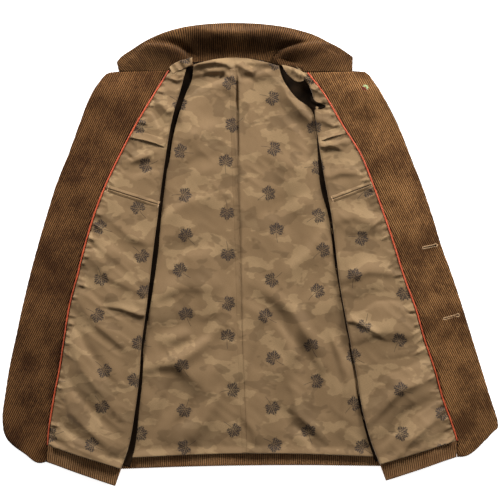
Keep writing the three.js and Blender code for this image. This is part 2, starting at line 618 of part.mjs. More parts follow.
function sleeve(name, mirror) {
  const rounded = (v, power) => Math.sign(v) * Math.abs(v) ** power;
  const positions = [];
  const ring = (share, inset) => {
    const y = SLEEVE_TOP_Y - SLEEVE_LENGTH * share;
    const { x, half } = sleeveAt(y);
    for (let k = 0; k < SLEEVE_SIDES; k++) {
      const angle = (2 * Math.PI * (k + 0.5)) / SLEEVE_SIDES;
      const across = rounded(Math.cos(angle), 0.7);
      const up = rounded(Math.sin(angle), 0.5) / SLEEVE_FLAT;
      const height = SLEEVE_HEIGHT / 2 + (SLEEVE_HEIGHT / 2 - inset) * clamp(up, -1, 1);
      const head = SLEEVE_CROWN * (1 - across ** 2) * (1 - share) ** CROWN_FADE;
      positions.push(mirror * (x + (half - 1.4 * inset) * across), y + head, height);
    }
  };
  const shares = stations(SLEEVE_RINGS);
  shares.forEach((share) => ring(share, 0));
  shares.forEach((share) => ring(share, CORD));
  const faces = [];
  const at = (layer, i, k) => (layer * SLEEVE_RINGS + i) * SLEEVE_SIDES + (k % SLEEVE_SIDES);
  const quad = (a, b, c, d) => faces.push(a, b, c, a, c, d);
  for (let k = 0; k < SLEEVE_SIDES; k++) {
    for (let i = 0; i + 1 < SLEEVE_RINGS; i++) {
      quad(at(0, i, k), at(0, i, k + 1), at(0, i + 1, k + 1), at(0, i + 1, k));
      quad(at(1, i, k), at(1, i + 1, k), at(1, i + 1, k + 1), at(1, i, k + 1));
    }
    const last = SLEEVE_RINGS - 1;
    quad(at(0, 0, k), at(1, 0, k), at(1, 0, k + 1), at(0, 0, k + 1));
    quad(at(0, last, k), at(0, last, k + 1), at(1, last, k + 1), at(1, last, k));
  }
  if (mirror < 0) faces.reverse();
  group.add(piece(name, positions, faces, BROWN));
}
sleeve("right_sleeve", -1);
sleeve("left_sleeve", 1);

// The buttons: turned discs with a raised rim, under the right front
function button({ name, x, y }) {
  const heights = stations(9).map((t) => {
    const angle = 2 * Math.PI * t;
    return heightOn(rightFront, x + BUTTON_RADIUS * Math.cos(angle), y + BUTTON_RADIUS * Math.sin(angle));
  });
  const top = Math.min(...heights) - CORD / 2 - LAY;
  const profile = [
    [0, 0.8],
    [BUTTON_RADIUS - 3, 0.8],
    [BUTTON_RADIUS - 2, 0],
    [BUTTON_RADIUS - 0.6, 0],
    [BUTTON_RADIUS, 1],
    [BUTTON_RADIUS - 0.8, BUTTON_HEIGHT],
    [0, BUTTON_HEIGHT],
  ].map(([radius, height]) => new THREE.Vector2(radius, height));
  const geometry = new THREE.LatheGeometry(profile, 24).rotateX(Math.PI / 2);
  const material = new THREE.MeshStandardMaterial({ color: HORN, roughness: 0.35, metalness: 0 });
  const mesh = new THREE.Mesh(geometry, material);
  mesh.name = name;
  mesh.position.set(x, y, top - BUTTON_HEIGHT);
  group.add(mesh);
}
BUTTONS.forEach(button);

export default group;
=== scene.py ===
"""A corduroy jacket laid open on its back with the printed lining up. Metres, +Z up, collar towards +Y,
the wearer's right front on the -X side. Tables of places are in millimetres."""
import math

import bpy
import numpy as np
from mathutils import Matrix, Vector
from mathutils.bvhtree import BVHTree


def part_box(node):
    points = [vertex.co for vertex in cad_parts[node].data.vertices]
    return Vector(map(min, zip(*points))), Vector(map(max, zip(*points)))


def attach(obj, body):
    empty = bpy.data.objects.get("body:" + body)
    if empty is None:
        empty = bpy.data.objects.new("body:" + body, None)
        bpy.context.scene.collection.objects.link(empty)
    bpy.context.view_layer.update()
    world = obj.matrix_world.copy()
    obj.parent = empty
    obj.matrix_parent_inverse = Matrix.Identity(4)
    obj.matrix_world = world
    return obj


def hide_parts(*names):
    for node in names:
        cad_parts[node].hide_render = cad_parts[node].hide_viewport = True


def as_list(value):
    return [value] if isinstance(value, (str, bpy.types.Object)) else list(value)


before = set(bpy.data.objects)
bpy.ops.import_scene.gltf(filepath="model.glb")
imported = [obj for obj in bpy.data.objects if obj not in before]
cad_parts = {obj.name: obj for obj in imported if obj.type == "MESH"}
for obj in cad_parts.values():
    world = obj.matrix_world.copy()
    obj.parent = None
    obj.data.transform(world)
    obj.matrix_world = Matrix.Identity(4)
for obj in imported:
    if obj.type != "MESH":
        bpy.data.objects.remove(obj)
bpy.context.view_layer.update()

# The sleeves.
# Two tubes of brown corduroy, sewn to the armholes and folded flat behind the back, where they lie on the
# table under the rest. Their wales run down to the cuffs, and they hide in the view from above.
MM = 0.001
WALE = 3.5 * MM
WALE_HEIGHT = 0.8 * MM
SLEEVE = {"top": 256, "length": 585, "crown": 24, "head": (168, 82), "cuff": (246, 66), "height": 6}


def unit(vectors):
    """Vectors of length 1."""
    return vectors / np.maximum(np.linalg.norm(vectors, axis=-1, keepdims=True), 1e-12)


def run_along(points):
    """The way from the first point of each line to all its points."""
    steps = np.linalg.norm(np.diff(points, axis=-2), axis=-1)
    return np.concatenate([0 * steps[..., :1], np.cumsum(steps, axis=-1)], axis=-1)


def spread(length, step, first=True, last=True):
    """Shares of a length, close together at the ends that are rolled."""
    near = np.array([0, 0.3, 0.8, 1.5, 2.4, 3.6]) * MM
    inner = np.linspace(0, length, max(2, round(length / step) + 1))
    inner = inner[(inner > near[-1] * first) & (inner < length - near[-1] * last)]
    ends = [near if first else [0], length - near if last else [length]]
    return np.unique(np.concatenate([inner, *ends])) / length


def normals(grid):
    """The normals of a grid whose rows run down and whose columns run to +X: they point up."""
    return unit(np.cross(np.gradient(grid, axis=0), np.gradient(grid, axis=1)))


def ribbed(grid, cut, per_wale, height):
    """Lays columns along the wales of a grid and raises the wales from it. A column ends where it meets the
    piece's edge. The cut gives each point's place on the flat cloth, across and along the wales."""
    step = WALE / per_wale
    lines = np.arange(math.floor(cut[..., 0].min() / step), math.ceil(cut[..., 0].max() / step) + 1) * step
    packed = np.concatenate([grid, normals(grid), cut], axis=2)
    made = []
    for line in packed:
        at = np.clip(lines, line[0, 6], line[-1, 6])
        made.append(np.stack([np.interp(at, line[:, 6], line[:, k]) for k in range(8)], axis=1))
    made = np.array(made)
    ridge = np.abs(np.sin(math.pi * made[..., 6] / WALE)) ** 0.6
    return made[..., :3] + made[..., 3:6] * (ridge * height)[..., None], made[..., 6:8]


def placed(name, data):
    """A new object, at the origin of the scene."""
    made = bpy.data.objects.new(name, data)
    bpy.context.scene.collection.objects.link(made)
    return made


def cloth(name, node, points, cut, material, wall=1.0 * MM, face_down=False):
    """A piece of cloth: a mesh with a wall, and its flat cut as its UV map. It may stand for a CAD node."""
    rows, columns = points.shape[:2]
    same = np.linalg.norm(np.diff(points, axis=1), axis=2) < 1e-7
    place = np.arange(rows * columns).reshape(rows, columns)
    for j in range(1, columns):
        place[:, j] = np.where(same[:, j - 1], place[:, j - 1], place[:, j])
    used, flat = np.unique(place, return_inverse=True)
    flat = flat.reshape(rows, columns)
    corners = np.stack([flat[:-1, :-1], flat[1:, :-1], flat[1:, 1:], flat[:-1, 1:]], axis=2).reshape(-1, 4)
    faces = [[v for k, v in enumerate(face) if v != face[k - 1]] for face in corners.tolist()]
    mesh = bpy.data.meshes.new(name)
    mesh.from_pydata(points.reshape(-1, 3)[used].tolist(), [], [face for face in faces if len(face) > 2])
    if face_down:
        mesh.flip_normals()
    vertex = np.zeros(len(mesh.loops), np.int32)
    mesh.loops.foreach_get("vertex_index", vertex)
    layer = mesh.uv_layers.new(name="cut")
    layer.data.foreach_set("uv", cut.reshape(-1, 2)[used][vertex].astype(np.float32).ravel())
    mesh.shade_smooth()
    mesh.materials.append(material)
    piece = placed(name, mesh)
    thick = piece.modifiers.new("wall", "SOLIDIFY")
    thick.thickness, thick.offset = wall, -1
    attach(piece, "root")
    if node:
        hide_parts(node)
    return piece


def wale_cloth(name, node, grid, cut, material, per_wale=4, face_down=False):
    """A piece of corduroy, with its wales on its lower side if that is the one that shows."""
    points, cut = ribbed(grid, cut, per_wale, -WALE_HEIGHT if face_down else WALE_HEIGHT)
    return cloth(name, node, points, cut, material, face_down=face_down)


def add_node(tree, kind, settings=None, sockets=None):
    """Adds one node: its settings first, then the values or links of its sockets."""
    made = tree.nodes.new(kind)
    for key, setting in (settings or {}).items():
        setattr(made, key, setting)
    for key, given in (sockets or {}).items():
        given = getattr(given, "socket", given)
        if isinstance(given, bpy.types.NodeSocket):
            tree.links.new(given, made.inputs[key])
        else:
            made.inputs[key].default_value = given
    return made


class Strand:
    """A value in a shader: arithmetic on it adds Math nodes to its dye."""

    def __init__(self, dye, socket):
        self.dye, self.socket = dye, socket

    def do(self, operation, *others):
        return self.dye.value("ShaderNodeMath", {"operation": operation}, dict(enumerate((self, *others))))

    def __add__(self, other):
        return self.do("ADD", other)

    def __mul__(self, other):
        return self.do("MULTIPLY", other)

    def __sub__(self, other):
        return self.do("SUBTRACT", other)

    def __rsub__(self, other):
        return self.do("MULTIPLY", -1).do("ADD", other)

    def __truediv__(self, other):
        return self.do("DIVIDE", other)

    __radd__, __rmul__ = __add__, __mul__

    def between(self, low, high):
        """0 below low and 1 above high, smooth between them."""
        sockets = {0: self, 1: low, 2: high}
        return self.dye.value("ShaderNodeMapRange", {"interpolation_type": "SMOOTHSTEP"}, sockets)


class Dye:
    """The material of one cloth. value() adds a node and gives what comes out of it."""

    def __init__(self, name, rough=0.9, sheen=0.0, sheen_rough=0.5, tint=(1, 1, 1), shine=0.25):
        self.material = bpy.data.materials.new(name)
        self.material.use_nodes = True
        self.tree = self.material.node_tree
        self.skin = self.tree.nodes["Principled BSDF"]
        self.skin.inputs["Roughness"].default_value = rough
        self.skin.inputs["Specular IOR Level"].default_value = shine
        self.skin.inputs["Sheen Weight"].default_value = sheen
        self.skin.inputs["Sheen Roughness"].default_value = sheen_rough
        self.skin.inputs["Sheen Tint"].default_value = (*tint, 1)

    def node(self, kind, settings=None, sockets=None):
        return add_node(self.tree, kind, settings, sockets)

    def value(self, kind, settings=None, sockets=None, output=0):
        return Strand(self, self.node(kind, settings, sockets).outputs[output])

    def apart(self, vector):
        split = self.node("ShaderNodeSeparateXYZ", None, {0: vector})
        return [Strand(self, split.outputs[k]) for k in range(3)]

    def places(self):
        """The cloth's place on its flat cut: across and along the grain, in metres."""
        return self.apart(self.value("ShaderNodeUVMap", {"uv_map": "cut"}))[:2]

    def spots(self):
        """The place from side to side and from hem to collar, for pieces with no cut of their own."""
        return self.apart(self.value("ShaderNodeTexCoord", None, None, 3))[:2]

    def vector(self, x, y, z=0.0):
        return self.value("ShaderNodeCombineXYZ", None, {0: x, 1: y, 2: z})

    def noise(self, x, y, scale, detail=2.0, rough=0.5, z=0.0, distortion=0.0):
        sockets = {"Vector": self.vector(x, y, z), "Scale": scale, "Detail": detail,
                   "Roughness": rough, "Distortion": distortion}
        return self.value("ShaderNodeTexNoise", None, sockets)

    def mix(self, share, a, b):
        return self.value("ShaderNodeMix", {"data_type": "RGBA"}, {0: share, 6: a, 7: b}, 2)

    def wear(self, colour, height, distance):
        """Gives the cloth its colour and its fine relief."""
        self.tree.links.new(colour.socket, self.skin.inputs["Base Color"])
        bump = self.value("ShaderNodeBump", None, {"Strength": 0.6, "Distance": distance, "Height": height})
        self.tree.links.new(bump.socket, self.skin.inputs["Normal"])
        return self.material


def paint(*levels):
    """A colour from its red, green and blue between 0 and 255, as the shader wants it."""
    return (*[c / 255 / 12.92 if c < 11 else ((c / 255 + 0.055) / 1.055) ** 2.4 for c in levels], 1)


def corduroy(name, shaded_groove, crest, worn):
    """Ribbed cotton: painted shade darkens the grooves between the wales; the crests are brushed and
    slightly uneven.
    """
    dye = Dye(name, rough=0.95, sheen=0.06, sheen_rough=0.45, tint=(1, 0.75, 0.5), shine=0.1)
    across, length = dye.places()
    ridge = (across * (math.pi / WALE)).do("SINE").do("ABSOLUTE")
    blotch = dye.noise(across, length, 19, detail=5, rough=0.6, z=0.3)
    brushed = dye.noise(across * 3, length, 160, detail=3, rough=0.7)
    fibre = dye.noise(across, length, 1500, detail=2, rough=0.7)
    streak = dye.noise((across / WALE).do("FLOOR") * 3.7, length * 26, 1, detail=2)
    top = dye.mix((blotch * 0.9 + brushed * 0.45 + streak * 0.3 - 0.33).between(0.3, 0.7), crest, worn)
    # the groove colour is painted shade: near black in the valleys between the wales
    colour = dye.mix((ridge + (fibre - 0.5) * 0.6 + (brushed - 0.5) * 0.4).between(0.22, 0.95), shaded_groove, top)
    return dye.wear(colour, ridge * 0.4 + fibre * 0.8 + brushed * 0.3, 0.3 * MM)


plain_cord = corduroy("corduroy_outside", paint(26, 14, 6), paint(88, 58, 32), paint(122, 86, 50))
angles = np.linspace(math.pi, -math.pi, 73)
for side, mirror in (("right", -1), ("left", 1)):  # across and up trace a tube that is pressed flat
    share = spread(SLEEVE["length"] * MM, 25 * MM)[:, None]
    middle, half = ((a + (b - a) * share) * MM for a, b in zip(SLEEVE["head"], SLEEVE["cuff"]))
    across = np.sign(np.cos(angles)) * np.abs(np.cos(angles)) ** 0.7
    up = np.clip(np.sign(np.sin(angles)) * np.abs(np.sin(angles)) ** 0.5 / 0.9, -1, 1)
    head = SLEEVE["crown"] * MM * (1 - across ** 2) * (1 - share) ** 6
    grid = np.zeros((len(share), len(angles), 3))
    grid[..., 0] = mirror * middle + (half - WALE_HEIGHT) * across
    grid[..., 1] = (SLEEVE["top"] - SLEEVE["length"] * share) * MM + head
    level = SLEEVE["height"] / 2 * MM
    grid[..., 2] = level + (level - WALE_HEIGHT) * up
    around = run_along(grid)
    cut = np.stack([around - around[:, -1:] / 2, grid[..., 1]], axis=2)
    sleeve = wale_cloth(f"{side}_sleeve_cloth", f"{side}_sleeve", grid, cut, plain_cord, per_wale=3)

# The back.
# One piece of the same corduroy, sewn to the fronts at the sides and to the collar at the neck. It lies face
# down on the sleeves, so only the views from below show it. Its lower edge is turned up as a hem.


def named(keys, table):
    """The rows of a table, with a name for each column."""
    return [dict(zip(keys, row)) for row in table]


BACK = named(("right", "left", "dip", "lining_right", "lining_left"), [  # from neck to hem
    ((-112, 346), (94, 338), 18, (-104, 345), (53, 343)),
    ((-182, 317), (166, 314), 10, (-107, 322), (64, 316)),
    ((-238, 292), (226, 289), 0, (-118, 296), (85, 288)),
    ((-243, 262), (234, 260), 0, (-129, 264), (115, 262)),
    ((-241, 211), (232, 209), 0, (-142, 214), (124, 210)),
    ((-250, 155), (241, 155), 0, (-152, 158), (132, 158)),
    ((-274, 108), (263, 108), 0, (-178, 108), (158, 108)),
    ((-280, 40), (270, 40), 0, (-205, 40), (188, 40)),
    ((-288, -40), (279, -40), 0, (-215, -40), (198, -40)),
    ((-294, -130), (286, -130), 0, (-226, -130), (214, -130)),
    ((-297, -230), (291, -230), 0, (-238, -230), (232, -230)),
    ((-299, -316), (293, -314), 3, (-252, -316), (250, -314)),
    ((-300, -376), (294, -373), 10, (-256, -376), (254, -373)),
    ((-300, -397), (294, -390), 5, (-262, -397), (262, -390)),
])


def along(table, key, v):
    """A smooth curve through one column of a table, at shares v of its rows, in metres."""
    p = np.array([np.atleast_1d(row[key]) for row in table], float) * MM
    x = np.clip(np.asarray(v, float) * (len(p) - 1), 0, len(p) - 1 - 1e-9)
    i = x.astype(int)
    t = (x - i)[:, None]
    a, b, c, d = (p[np.clip(i + k, 0, len(p) - 1)] for k in (-1, 0, 1, 2))
    return b + 0.5 * t * (c - a + t * (2 * a - 5 * b + 4 * c - d + t * (3 * (b - c) + d - a)))


def faces_of(mesh):
    """The faces of a mesh, for rays to hit."""
    return BVHTree.FromPolygons([v.co[:] for v in mesh.vertices], [p.vertices[:] for p in mesh.polygons])


def blend(z, i, j, down, across):
    """A value of a table between row i and the next, and column j and the next."""
    upper = z[i, j] * (1 - across) + z[i, j + 1] * across
    lower = z[i + 1, j] * (1 - across) + z[i + 1, j + 1] * across
    return upper * (1 - down) + lower * down


def relief(node, from_above=True, soften=4, step=4 * MM):
    """The softened height of a CAD node's upper or lower side, as a function of points."""
    tree = faces_of(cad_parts[node].data)
    low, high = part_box(node)
    xs, ys = (np.arange(low[k] - 2 * step, high[k] + 2 * step, step) for k in (0, 1))
    z = np.full((len(ys), len(xs)), np.nan)
    start, way = (1, -1) if from_above else (-1, 1)
    for i, y in enumerate(ys):
        for j, x in enumerate(xs):
            hit = tree.ray_cast(Vector((x, y, start)), Vector((0, 0, way)))[0]
            if hit:
                z[i, j] = hit.z
    while np.isnan(z).any():
        wide = np.pad(z, 1, constant_values=np.nan)
        near = np.stack([wide[1 + a:len(ys) + 1 + a, 1 + b:len(xs) + 1 + b]
                         for a, b in ((0, 1), (0, -1), (1, 0), (-1, 0))])
        count = (~np.isnan(near)).sum(axis=0)
        fill = np.nansum(near, axis=0) / np.maximum(count, 1)
        z = np.where(np.isnan(z) & (count > 0), fill, z)
    for _ in range(soften):
        wide = np.pad(z, ((1, 1), (0, 0)), "edge")
        z = (wide[:-2] + 2 * wide[1:-1] + wide[2:]) / 4
        wide = np.pad(z, ((0, 0), (1, 1)), "edge")
        z = (wide[:, :-2] + 2 * wide[:, 1:-1] + wide[:, 2:]) / 4

    def height(p):
        fx = np.clip((p[..., 0] - xs[0]) / step, 0, len(xs) - 1.001)
        fy = np.clip((p[..., 1] - ys[0]) / step, 0, len(ys) - 1.001)
        i, j = fy.astype(int), fx.astype(int)
        return blend(z, i, j, fy - i, fx - j)

    return height


def rolled(distance, radius=2 * MM):
    """How far a turned edge drops, at a distance from it."""
    gap = radius - np.clip(distance, 0, radius)
    return radius - np.sqrt(np.maximum(radius ** 2 - gap ** 2, 0))


def band(table, keys, v, over, dip=1.0):
    """A sheet between two of a table's curves, with no height yet. It may dip between them."""
    start, end = (along(table, key, v) for key in keys)
    grid = np.zeros((len(v), len(over), 3))
    grid[..., :2] = start[:, None] + (end - start)[:, None] * over[None, :, None]
    if "dip" in table[0]:
        grid[..., 1] += dip * along(table, "dip", v) * np.sin(math.pi * over)[None]
    return grid


back_under = relief("back", from_above=False)
grid = band(BACK, ("right", "left"), spread(0.75, 28 * MM), np.linspace(0, 1, 150))
grid[..., 2] = back_under(grid) + WALE_HEIGHT
back = wale_cloth("back_cloth", "back", grid, grid[..., :2], plain_cord, per_wale=3, face_down=True)

HEM_STARTS, HEM_INSET = 0.88, 0.012  # from neck to hem, and from each side
# painted highlight: the hems' corduroy is a lit copy, lighter than the same cloth elsewhere
lit_hem_cord = corduroy("corduroy_hem_lit", paint(52, 33, 17), paint(132, 93, 59), paint(164, 124, 84))
hem_top = relief("back_hem")
v = HEM_STARTS + (1 - HEM_STARTS) * spread(0.065, 5 * MM, first=False)
grid = band(BACK, ("right", "left"), v, HEM_INSET + (1 - 2 * HEM_INSET) * spread(0.59, 4 * MM))
below = grid[..., 1] - grid[-1:, :, 1]
grid[..., 2] = hem_top(grid) - WALE_HEIGHT - rolled(below)
back_hem = wale_cloth("back_hem_cloth", "back_hem", grid, grid[..., :2], lit_hem_cord)

# The sleeve linings.
# Dark plain lining that closes each armhole: it shows as a dark hollow between the lining of the back and
# that of the front, wide on the wearer's left and narrow on the right. Its near-black colour is partly the
# lining's own and partly painted shade of the hollow.
MOUTHS = {
    "right": [((-86, 356), (-140, 352)), ((-98, 290), (-165, 290)), ((-114, 240), (-180, 240)),
              ((-128, 180), (-190, 180)), ((-142, 120), (-200, 115))],
    "left": [((36, 352), (112, 346)), ((60, 290), (152, 286)), ((88, 245), (164, 240)),
             ((104, 180), (170, 175)), ((118, 118), (180, 112))],
}


def ease(t):
    """From 0 to 1 as t goes from 0 to 1, level at both ends."""
    t = np.clip(t, 0, 1)
    return t * t * (3 - 2 * t)


def ripples(p, size, seed, turn=0.0, stretch=1.0):
    """Smooth random waves between -1 and 1, about one size wide."""
    x, y = p[..., 0], p[..., 1]
    u = (x * math.cos(turn) + y * math.sin(turn)) / size + 60
    w = (y * math.cos(turn) - x * math.sin(turn)) / (size * stretch) + 60
    heights = np.random.default_rng(seed).uniform(-1, 1, (256, 256))
    i, j = np.floor(w).astype(int) % 255, np.floor(u).astype(int) % 255
    return blend(heights, i, j, ease(w - np.floor(w)), ease(u - np.floor(u)))


def strip(ends, v, over):
    """A sheet between two curves, from a table with a point of each in a row."""
    return band(named(("from", "to"), ends), ("from", "to"), v, over)


dye = Dye("sleeve_lining_and_shade_dye", rough=0.9, shine=0.05)
u, w = dye.places()
yarn = dye.noise(u, w * 3, 900, detail=2)
tone = dye.noise(u, w, 30, detail=3)
# near black: partly the lining's own colour and partly painted shade of the armhole hollow
colour = dye.mix(tone.between(0.3, 0.7), paint(14, 8, 4), paint(34, 23, 13))
dark_lining_and_shade = dye.wear(colour, yarn, 0.15 * MM)
for side, ends in MOUTHS.items():
    grid = strip(ends, np.linspace(0, 1, 60), np.linspace(0, 1, 26))
    if side == "right":
        grid = grid[:, ::-1]
    grid[..., 2] = relief(f"{side}_sleeve_lining")(grid) + 0.35 * MM * ripples(grid, 11 * MM, 5, 0.4, 2.5)
    mouth = cloth(f"{side}_armhole_lining", f"{side}_sleeve_lining", grid, grid[..., :2], dark_lining_and_shade,
                  wall=0.7 * MM)

# The lining of the back.
# Light printed cotton with a camouflage ground and scattered leaves. It is joined at the centre back in a
# tuck, lies loose over the back in soft creases, and its lower edge hangs over the hem.
BACK_CREASES = [  # path, width, height, and how much steeper one side is
    ([(-114, 340), (-95, 350), (-65, 354), (-44, 351), (-32, 343)], 7, 11, 0.35),
    ([(-96, 342), (-78, 330), (-56, 327), (-38, 338)], 8, -6, -0.3),
    ([(-24, 350), (-10, 342), (4, 337), (18, 340)], 5, 6, 0.2),
    ([(-24, 352), (4, 354), (32, 351), (62, 343)], 6, 4.5, -0.2),
    ([(-22, 342), (-12, 330), (2, 327), (12, 336)], 6, -5, -0.3),
    ([(0, -76), (53, -113), (98, -180), (120, -240)], 12, -5, 0.2),
    ([(22, -60), (77, -105), (117, -165), (142, -240)], 12, 4.5, 0.2),
    ([(147, -142), (164, -185), (177, -231)], 8, 4, 0.3),
    ([(59, -288), (90, -320), (123, -352)], 9, -4, 0.2),
    ([(75, -280), (105, -310), (140, -345)], 9, 3.5, 0.2),
    ([(-42, -99), (-101, -156), (-153, -177)], 11, -5, 0.2),
    ([(-60, -140), (-105, -180), (-150, -205)], 11, 4, 0.2),
    ([(-75, -229), (-114, -299), (-140, -317)], 11, -4.5, 0.2),
    ([(-40, -230), (-85, -310), (-110, -345)], 12, 4, 0.2),
    ([(-108, 330), (-85, 334), (-50, 338), (-28, 322)], 9, 6.6, 0.4),
    ([(-112, 300), (-100, 312), (-70, 322), (-45, 336)], 8, -5.7, 0.2),
    ([(-20, 338), (10, 330), (45, 338)], 8, 5.7, -0.3),
    ([(58, 322), (70, 290), (92, 262), (118, 240)], 11, 7.6, 0.3),
    ([(45, 310), (62, 275), (90, 240), (112, 190)], 12, -5.7, 0.0),
    ([(-40, 240), (-90, 225), (-130, 205)], 16, 2.8, 0.2),
    ([(-52, 180), (-95, 175), (-140, 150)], 14, -2.8, 0.2),
    ([(-60, 110), (-110, 96), (-165, 60)], 15, 3.8, 0.3),
    ([(10, 190), (60, 170), (110, 150)], 15, 2.8, 0.3), ([(0, 60), (60, 90), (120, 130)], 16, -3, 0.2),
    ([(150, 60), (110, 0), (60, -40)], 16, 4.2, 0.3),
    ([(-180, -20), (-120, 10), (-60, 20)], 15, -3.8, 0.2),
    ([(-190, -90), (-130, -60), (-70, -60)], 14, 4.2, 0.3),
    ([(-200, -150), (-120, -130), (-40, -160)], 15, -3.8, 0.2),
    ([(-215, -215), (-140, -200), (-80, -250)], 13, 4.9, 0.4),
    ([(-30, -60), (-60, -130), (-110, -180)], 14, 3.8, 0.3),
    ([(-120, -210), (-150, -270), (-175, -330)], 14, -4.6, 0.2),
    ([(-60, -200), (-90, -270), (-120, -350)], 14, 4.9, 0.3),
    ([(40, -100), (20, -180), (-20, -260)], 16, -3.8, 0.2),
    ([(100, -90), (80, -170), (40, -260)], 15, 4.6, 0.3),
    ([(150, -120), (150, -200), (120, -300)], 14, -4.6, 0.2),
    ([(190, -150), (180, -230), (170, -330)], 12, 4.9, 0.4),
    ([(70, -220), (90, -290), (80, -360)], 12, 3.8, 0.3),
    ([(-20, -280), (10, -330), (20, -370)], 12, 3.4, 0.3),
]
BACK_GROOVES = [  # where it dives under the fronts, and beside the tuck at its centre
    ([(-153, 190), (-162, 128), (-169, 71), (-177, 10), (-184, -49), (-191, -108), (-199, -167),
      (-206, -225), (-213, -282), (-221, -340), (-232, -380)], 3.4, -6.5, 0.1),
    ([(128, 189), (139, 126), (150, 67), (157, 8), (164, -51), (174, -108), (185, -167), (196, -225),
      (205, -281), (221, -341), (236, -380)], 2.6, -5.5, 0.1),
    ([(-26, 348), (-25, 300), (-24, 240), (-22.5, 180)], 2.6, -5.5, 0),
]


def creased(table, p):
    """The height that a table of creases adds: ridges, or troughs where it is below zero."""
    x, y = p[..., 0], p[..., 1]
    total = np.zeros_like(x)
    for path, width, height, lean in table:
        path = np.array(path, float) * MM
        nearest, share, side = np.full_like(x, 9.0), np.zeros_like(x), np.ones_like(x)
        for k, (a, b) in enumerate(zip(path, path[1:])):
            way = b - a
            t = np.clip(((x - a[0]) * way[0] + (y - a[1]) * way[1]) / (way @ way), 0, 1)
            dx, dy = x - a[0] - t * way[0], y - a[1] - t * way[1]
            off = np.hypot(dx, dy)
            closer = off < nearest
            share = np.where(closer, (k + t) / (len(path) - 1), share)
            side = np.where(closer, np.tanh((way[0] * dy - way[1] * dx) / np.hypot(*way) / (2 * MM)), side)
            nearest = np.minimum(nearest, off)
        taper = 0.25 + 0.75 * np.sin(math.pi * share)
        total += height * MM * taper * np.exp(-(nearest / (width * MM * (1 + lean * side))) ** 2)
    return total


def crumpled(p, seed):
    """The small unevenness of loose light cotton."""
    wide = 1.1 * ripples(p, 42 * MM, seed, 0.5, 1.8) + 0.7 * ripples(p, 24 * MM, seed + 1, -0.6, 2.2)
    fine = 0.45 * (1 - 2.2 * np.abs(ripples(p, 17 * MM, seed + 2, 0.9, 2.6)))
    return (wide + fine + 0.2 * ripples(p, 8 * MM, seed + 3, 0.2, 1.6)) * MM


REPEAT = 80 * MM
LEAF = 18.5 * MM  # from its foot to its tip
LOBES = [(0.0, 1.0, 0.31), (0.9, 0.98, 0.3), (1.85, 0.8, 0.26)]  # turn from the tip, length and breadth


def printed(name):
    """Printed cotton: soft patches in three khakis, and a leaf in each cell of a half-drop repeat."""
    dye = Dye(name, rough=0.72, sheen=0.12, sheen_rough=0.4, shine=0.3)
    u, w = dye.places()
    patch = dye.noise(u * 0.8, w * 1.25, 21, detail=3, rough=0.55, distortion=0.25)
    shade = dye.noise(u * 0.8, w * 1.25, 18, detail=3, rough=0.55, z=4.0, distortion=0.2)
    base, pale, deep = paint(131, 104, 71), paint(154, 126, 89), paint(102, 79, 51)
    ground = dye.mix(patch.between(0.525, 0.555) * 0.8, base, pale)
    ground = dye.mix(shade.between(0.54, 0.57) * 0.6, ground, deep)
    column = (u / REPEAT).do("FLOOR")
    drop = w / REPEAT + column * 0.5
    row = drop.do("FLOOR")
    cell = {"Vector": dye.vector(column, row)}
    chance = dye.value("ShaderNodeTexWhiteNoise", {"noise_dimensions": "2D"}, cell, 1)
    first, second, third = dye.apart(chance)
    p = ((u / REPEAT) - column - 0.5 - (first - 0.5) * 0.3) * REPEAT
    q = (drop - row - 0.5 - (second - 0.5) * 0.3) * REPEAT
    turn = third * (2 * math.pi)
    cosine, sine = turn.do("COSINE"), turn.do("SINE")
    aside, up = p * cosine + q * sine, q * cosine - p * sine
    half = aside.do("ABSOLUTE")
    leaf, veins = None, None
    for angle, length, breadth in LOBES:
        out = half * math.sin(angle) + up * math.cos(angle)
        off = (half * math.cos(angle) - up * math.sin(angle)).do("ABSOLUTE")
        teeth = ((out / (LEAF * 0.21)).do("FRACT") - 0.5) * (LEAF * 0.14)
        width = (out * 0.55 + LEAF * 0.05).do("MINIMUM", LEAF * breadth)
        width = width.do("MINIMUM", (LEAF * length - out) * 0.8) + teeth
        lobe = (width - off).between(0, 0.3 * MM)
        rib = (0.85 * MM - off).between(0, 0.4 * MM) * out.between(0, 0.5 * MM)
        side_rib = ((out - off * 1.1) / (LEAF * 0.24)).do("FRACT").between(0.5, 0.75)
        rib = rib.do("MAXIMUM", side_rib * 0.7)
        leaf = lobe if leaf is None else leaf.do("MAXIMUM", lobe)
        veins = rib * lobe if veins is None else veins.do("MAXIMUM", rib * lobe)
    bend = aside - up * up * (0.16 / LEAF)
    stem = (0.6 * MM - bend.do("ABSOLUTE")).between(0, 0.3 * MM) * (0 - up).between(0, 0.2 * MM)
    stem = stem * (up + LEAF * 1.15).between(0, 0.5 * MM)
    ink = leaf * (1 - veins * 0.72)
    ink = ink.do("MAXIMUM", stem * 0.75)
    weave = dye.noise(u * 2.5, w, 700, detail=2, rough=0.6)
    slub = dye.noise(u, w * 9, 260, detail=2, rough=0.6)
    ground = dye.mix((slub * 0.5 + weave * 0.5).between(0.4, 0.62) * 0.34, ground, paint(92, 70, 46))
    colour = dye.mix(ink * (0.93 + weave * 0.07), ground, paint(30, 21, 20))
    return dye.wear(colour, weave * 0.7 + slub * 0.3, 0.18 * MM)


lining_print = printed("printed_lining")
back_lining_relief, back_top = relief("back_lining"), relief("back")
LINING_ENDS = 12 / 13  # from neck to hem: the lining stops above the hem
LINING_WALL = 0.6 * MM
OVER_BACK = 2.9 * MM  # the least that the lining lies over the back
UNDER_COLLAR = 4.2 * MM  # how far its upper edge goes on beneath the collar
HANG, HANG_REACH = 3.7 * MM, 16 * MM  # its rise over the hem, and how far from its edge the rise begins
v = LINING_ENDS * spread(0.70, 3.2 * MM)
grid = band(BACK, ("lining_right", "lining_left"), v, spread(0.40, 2.7 * MM), 0.8)
grid[..., 1] += UNDER_COLLAR * ease(1 - v / 0.04)[:, None]
hem_line = grid[-1, :, :2].copy()


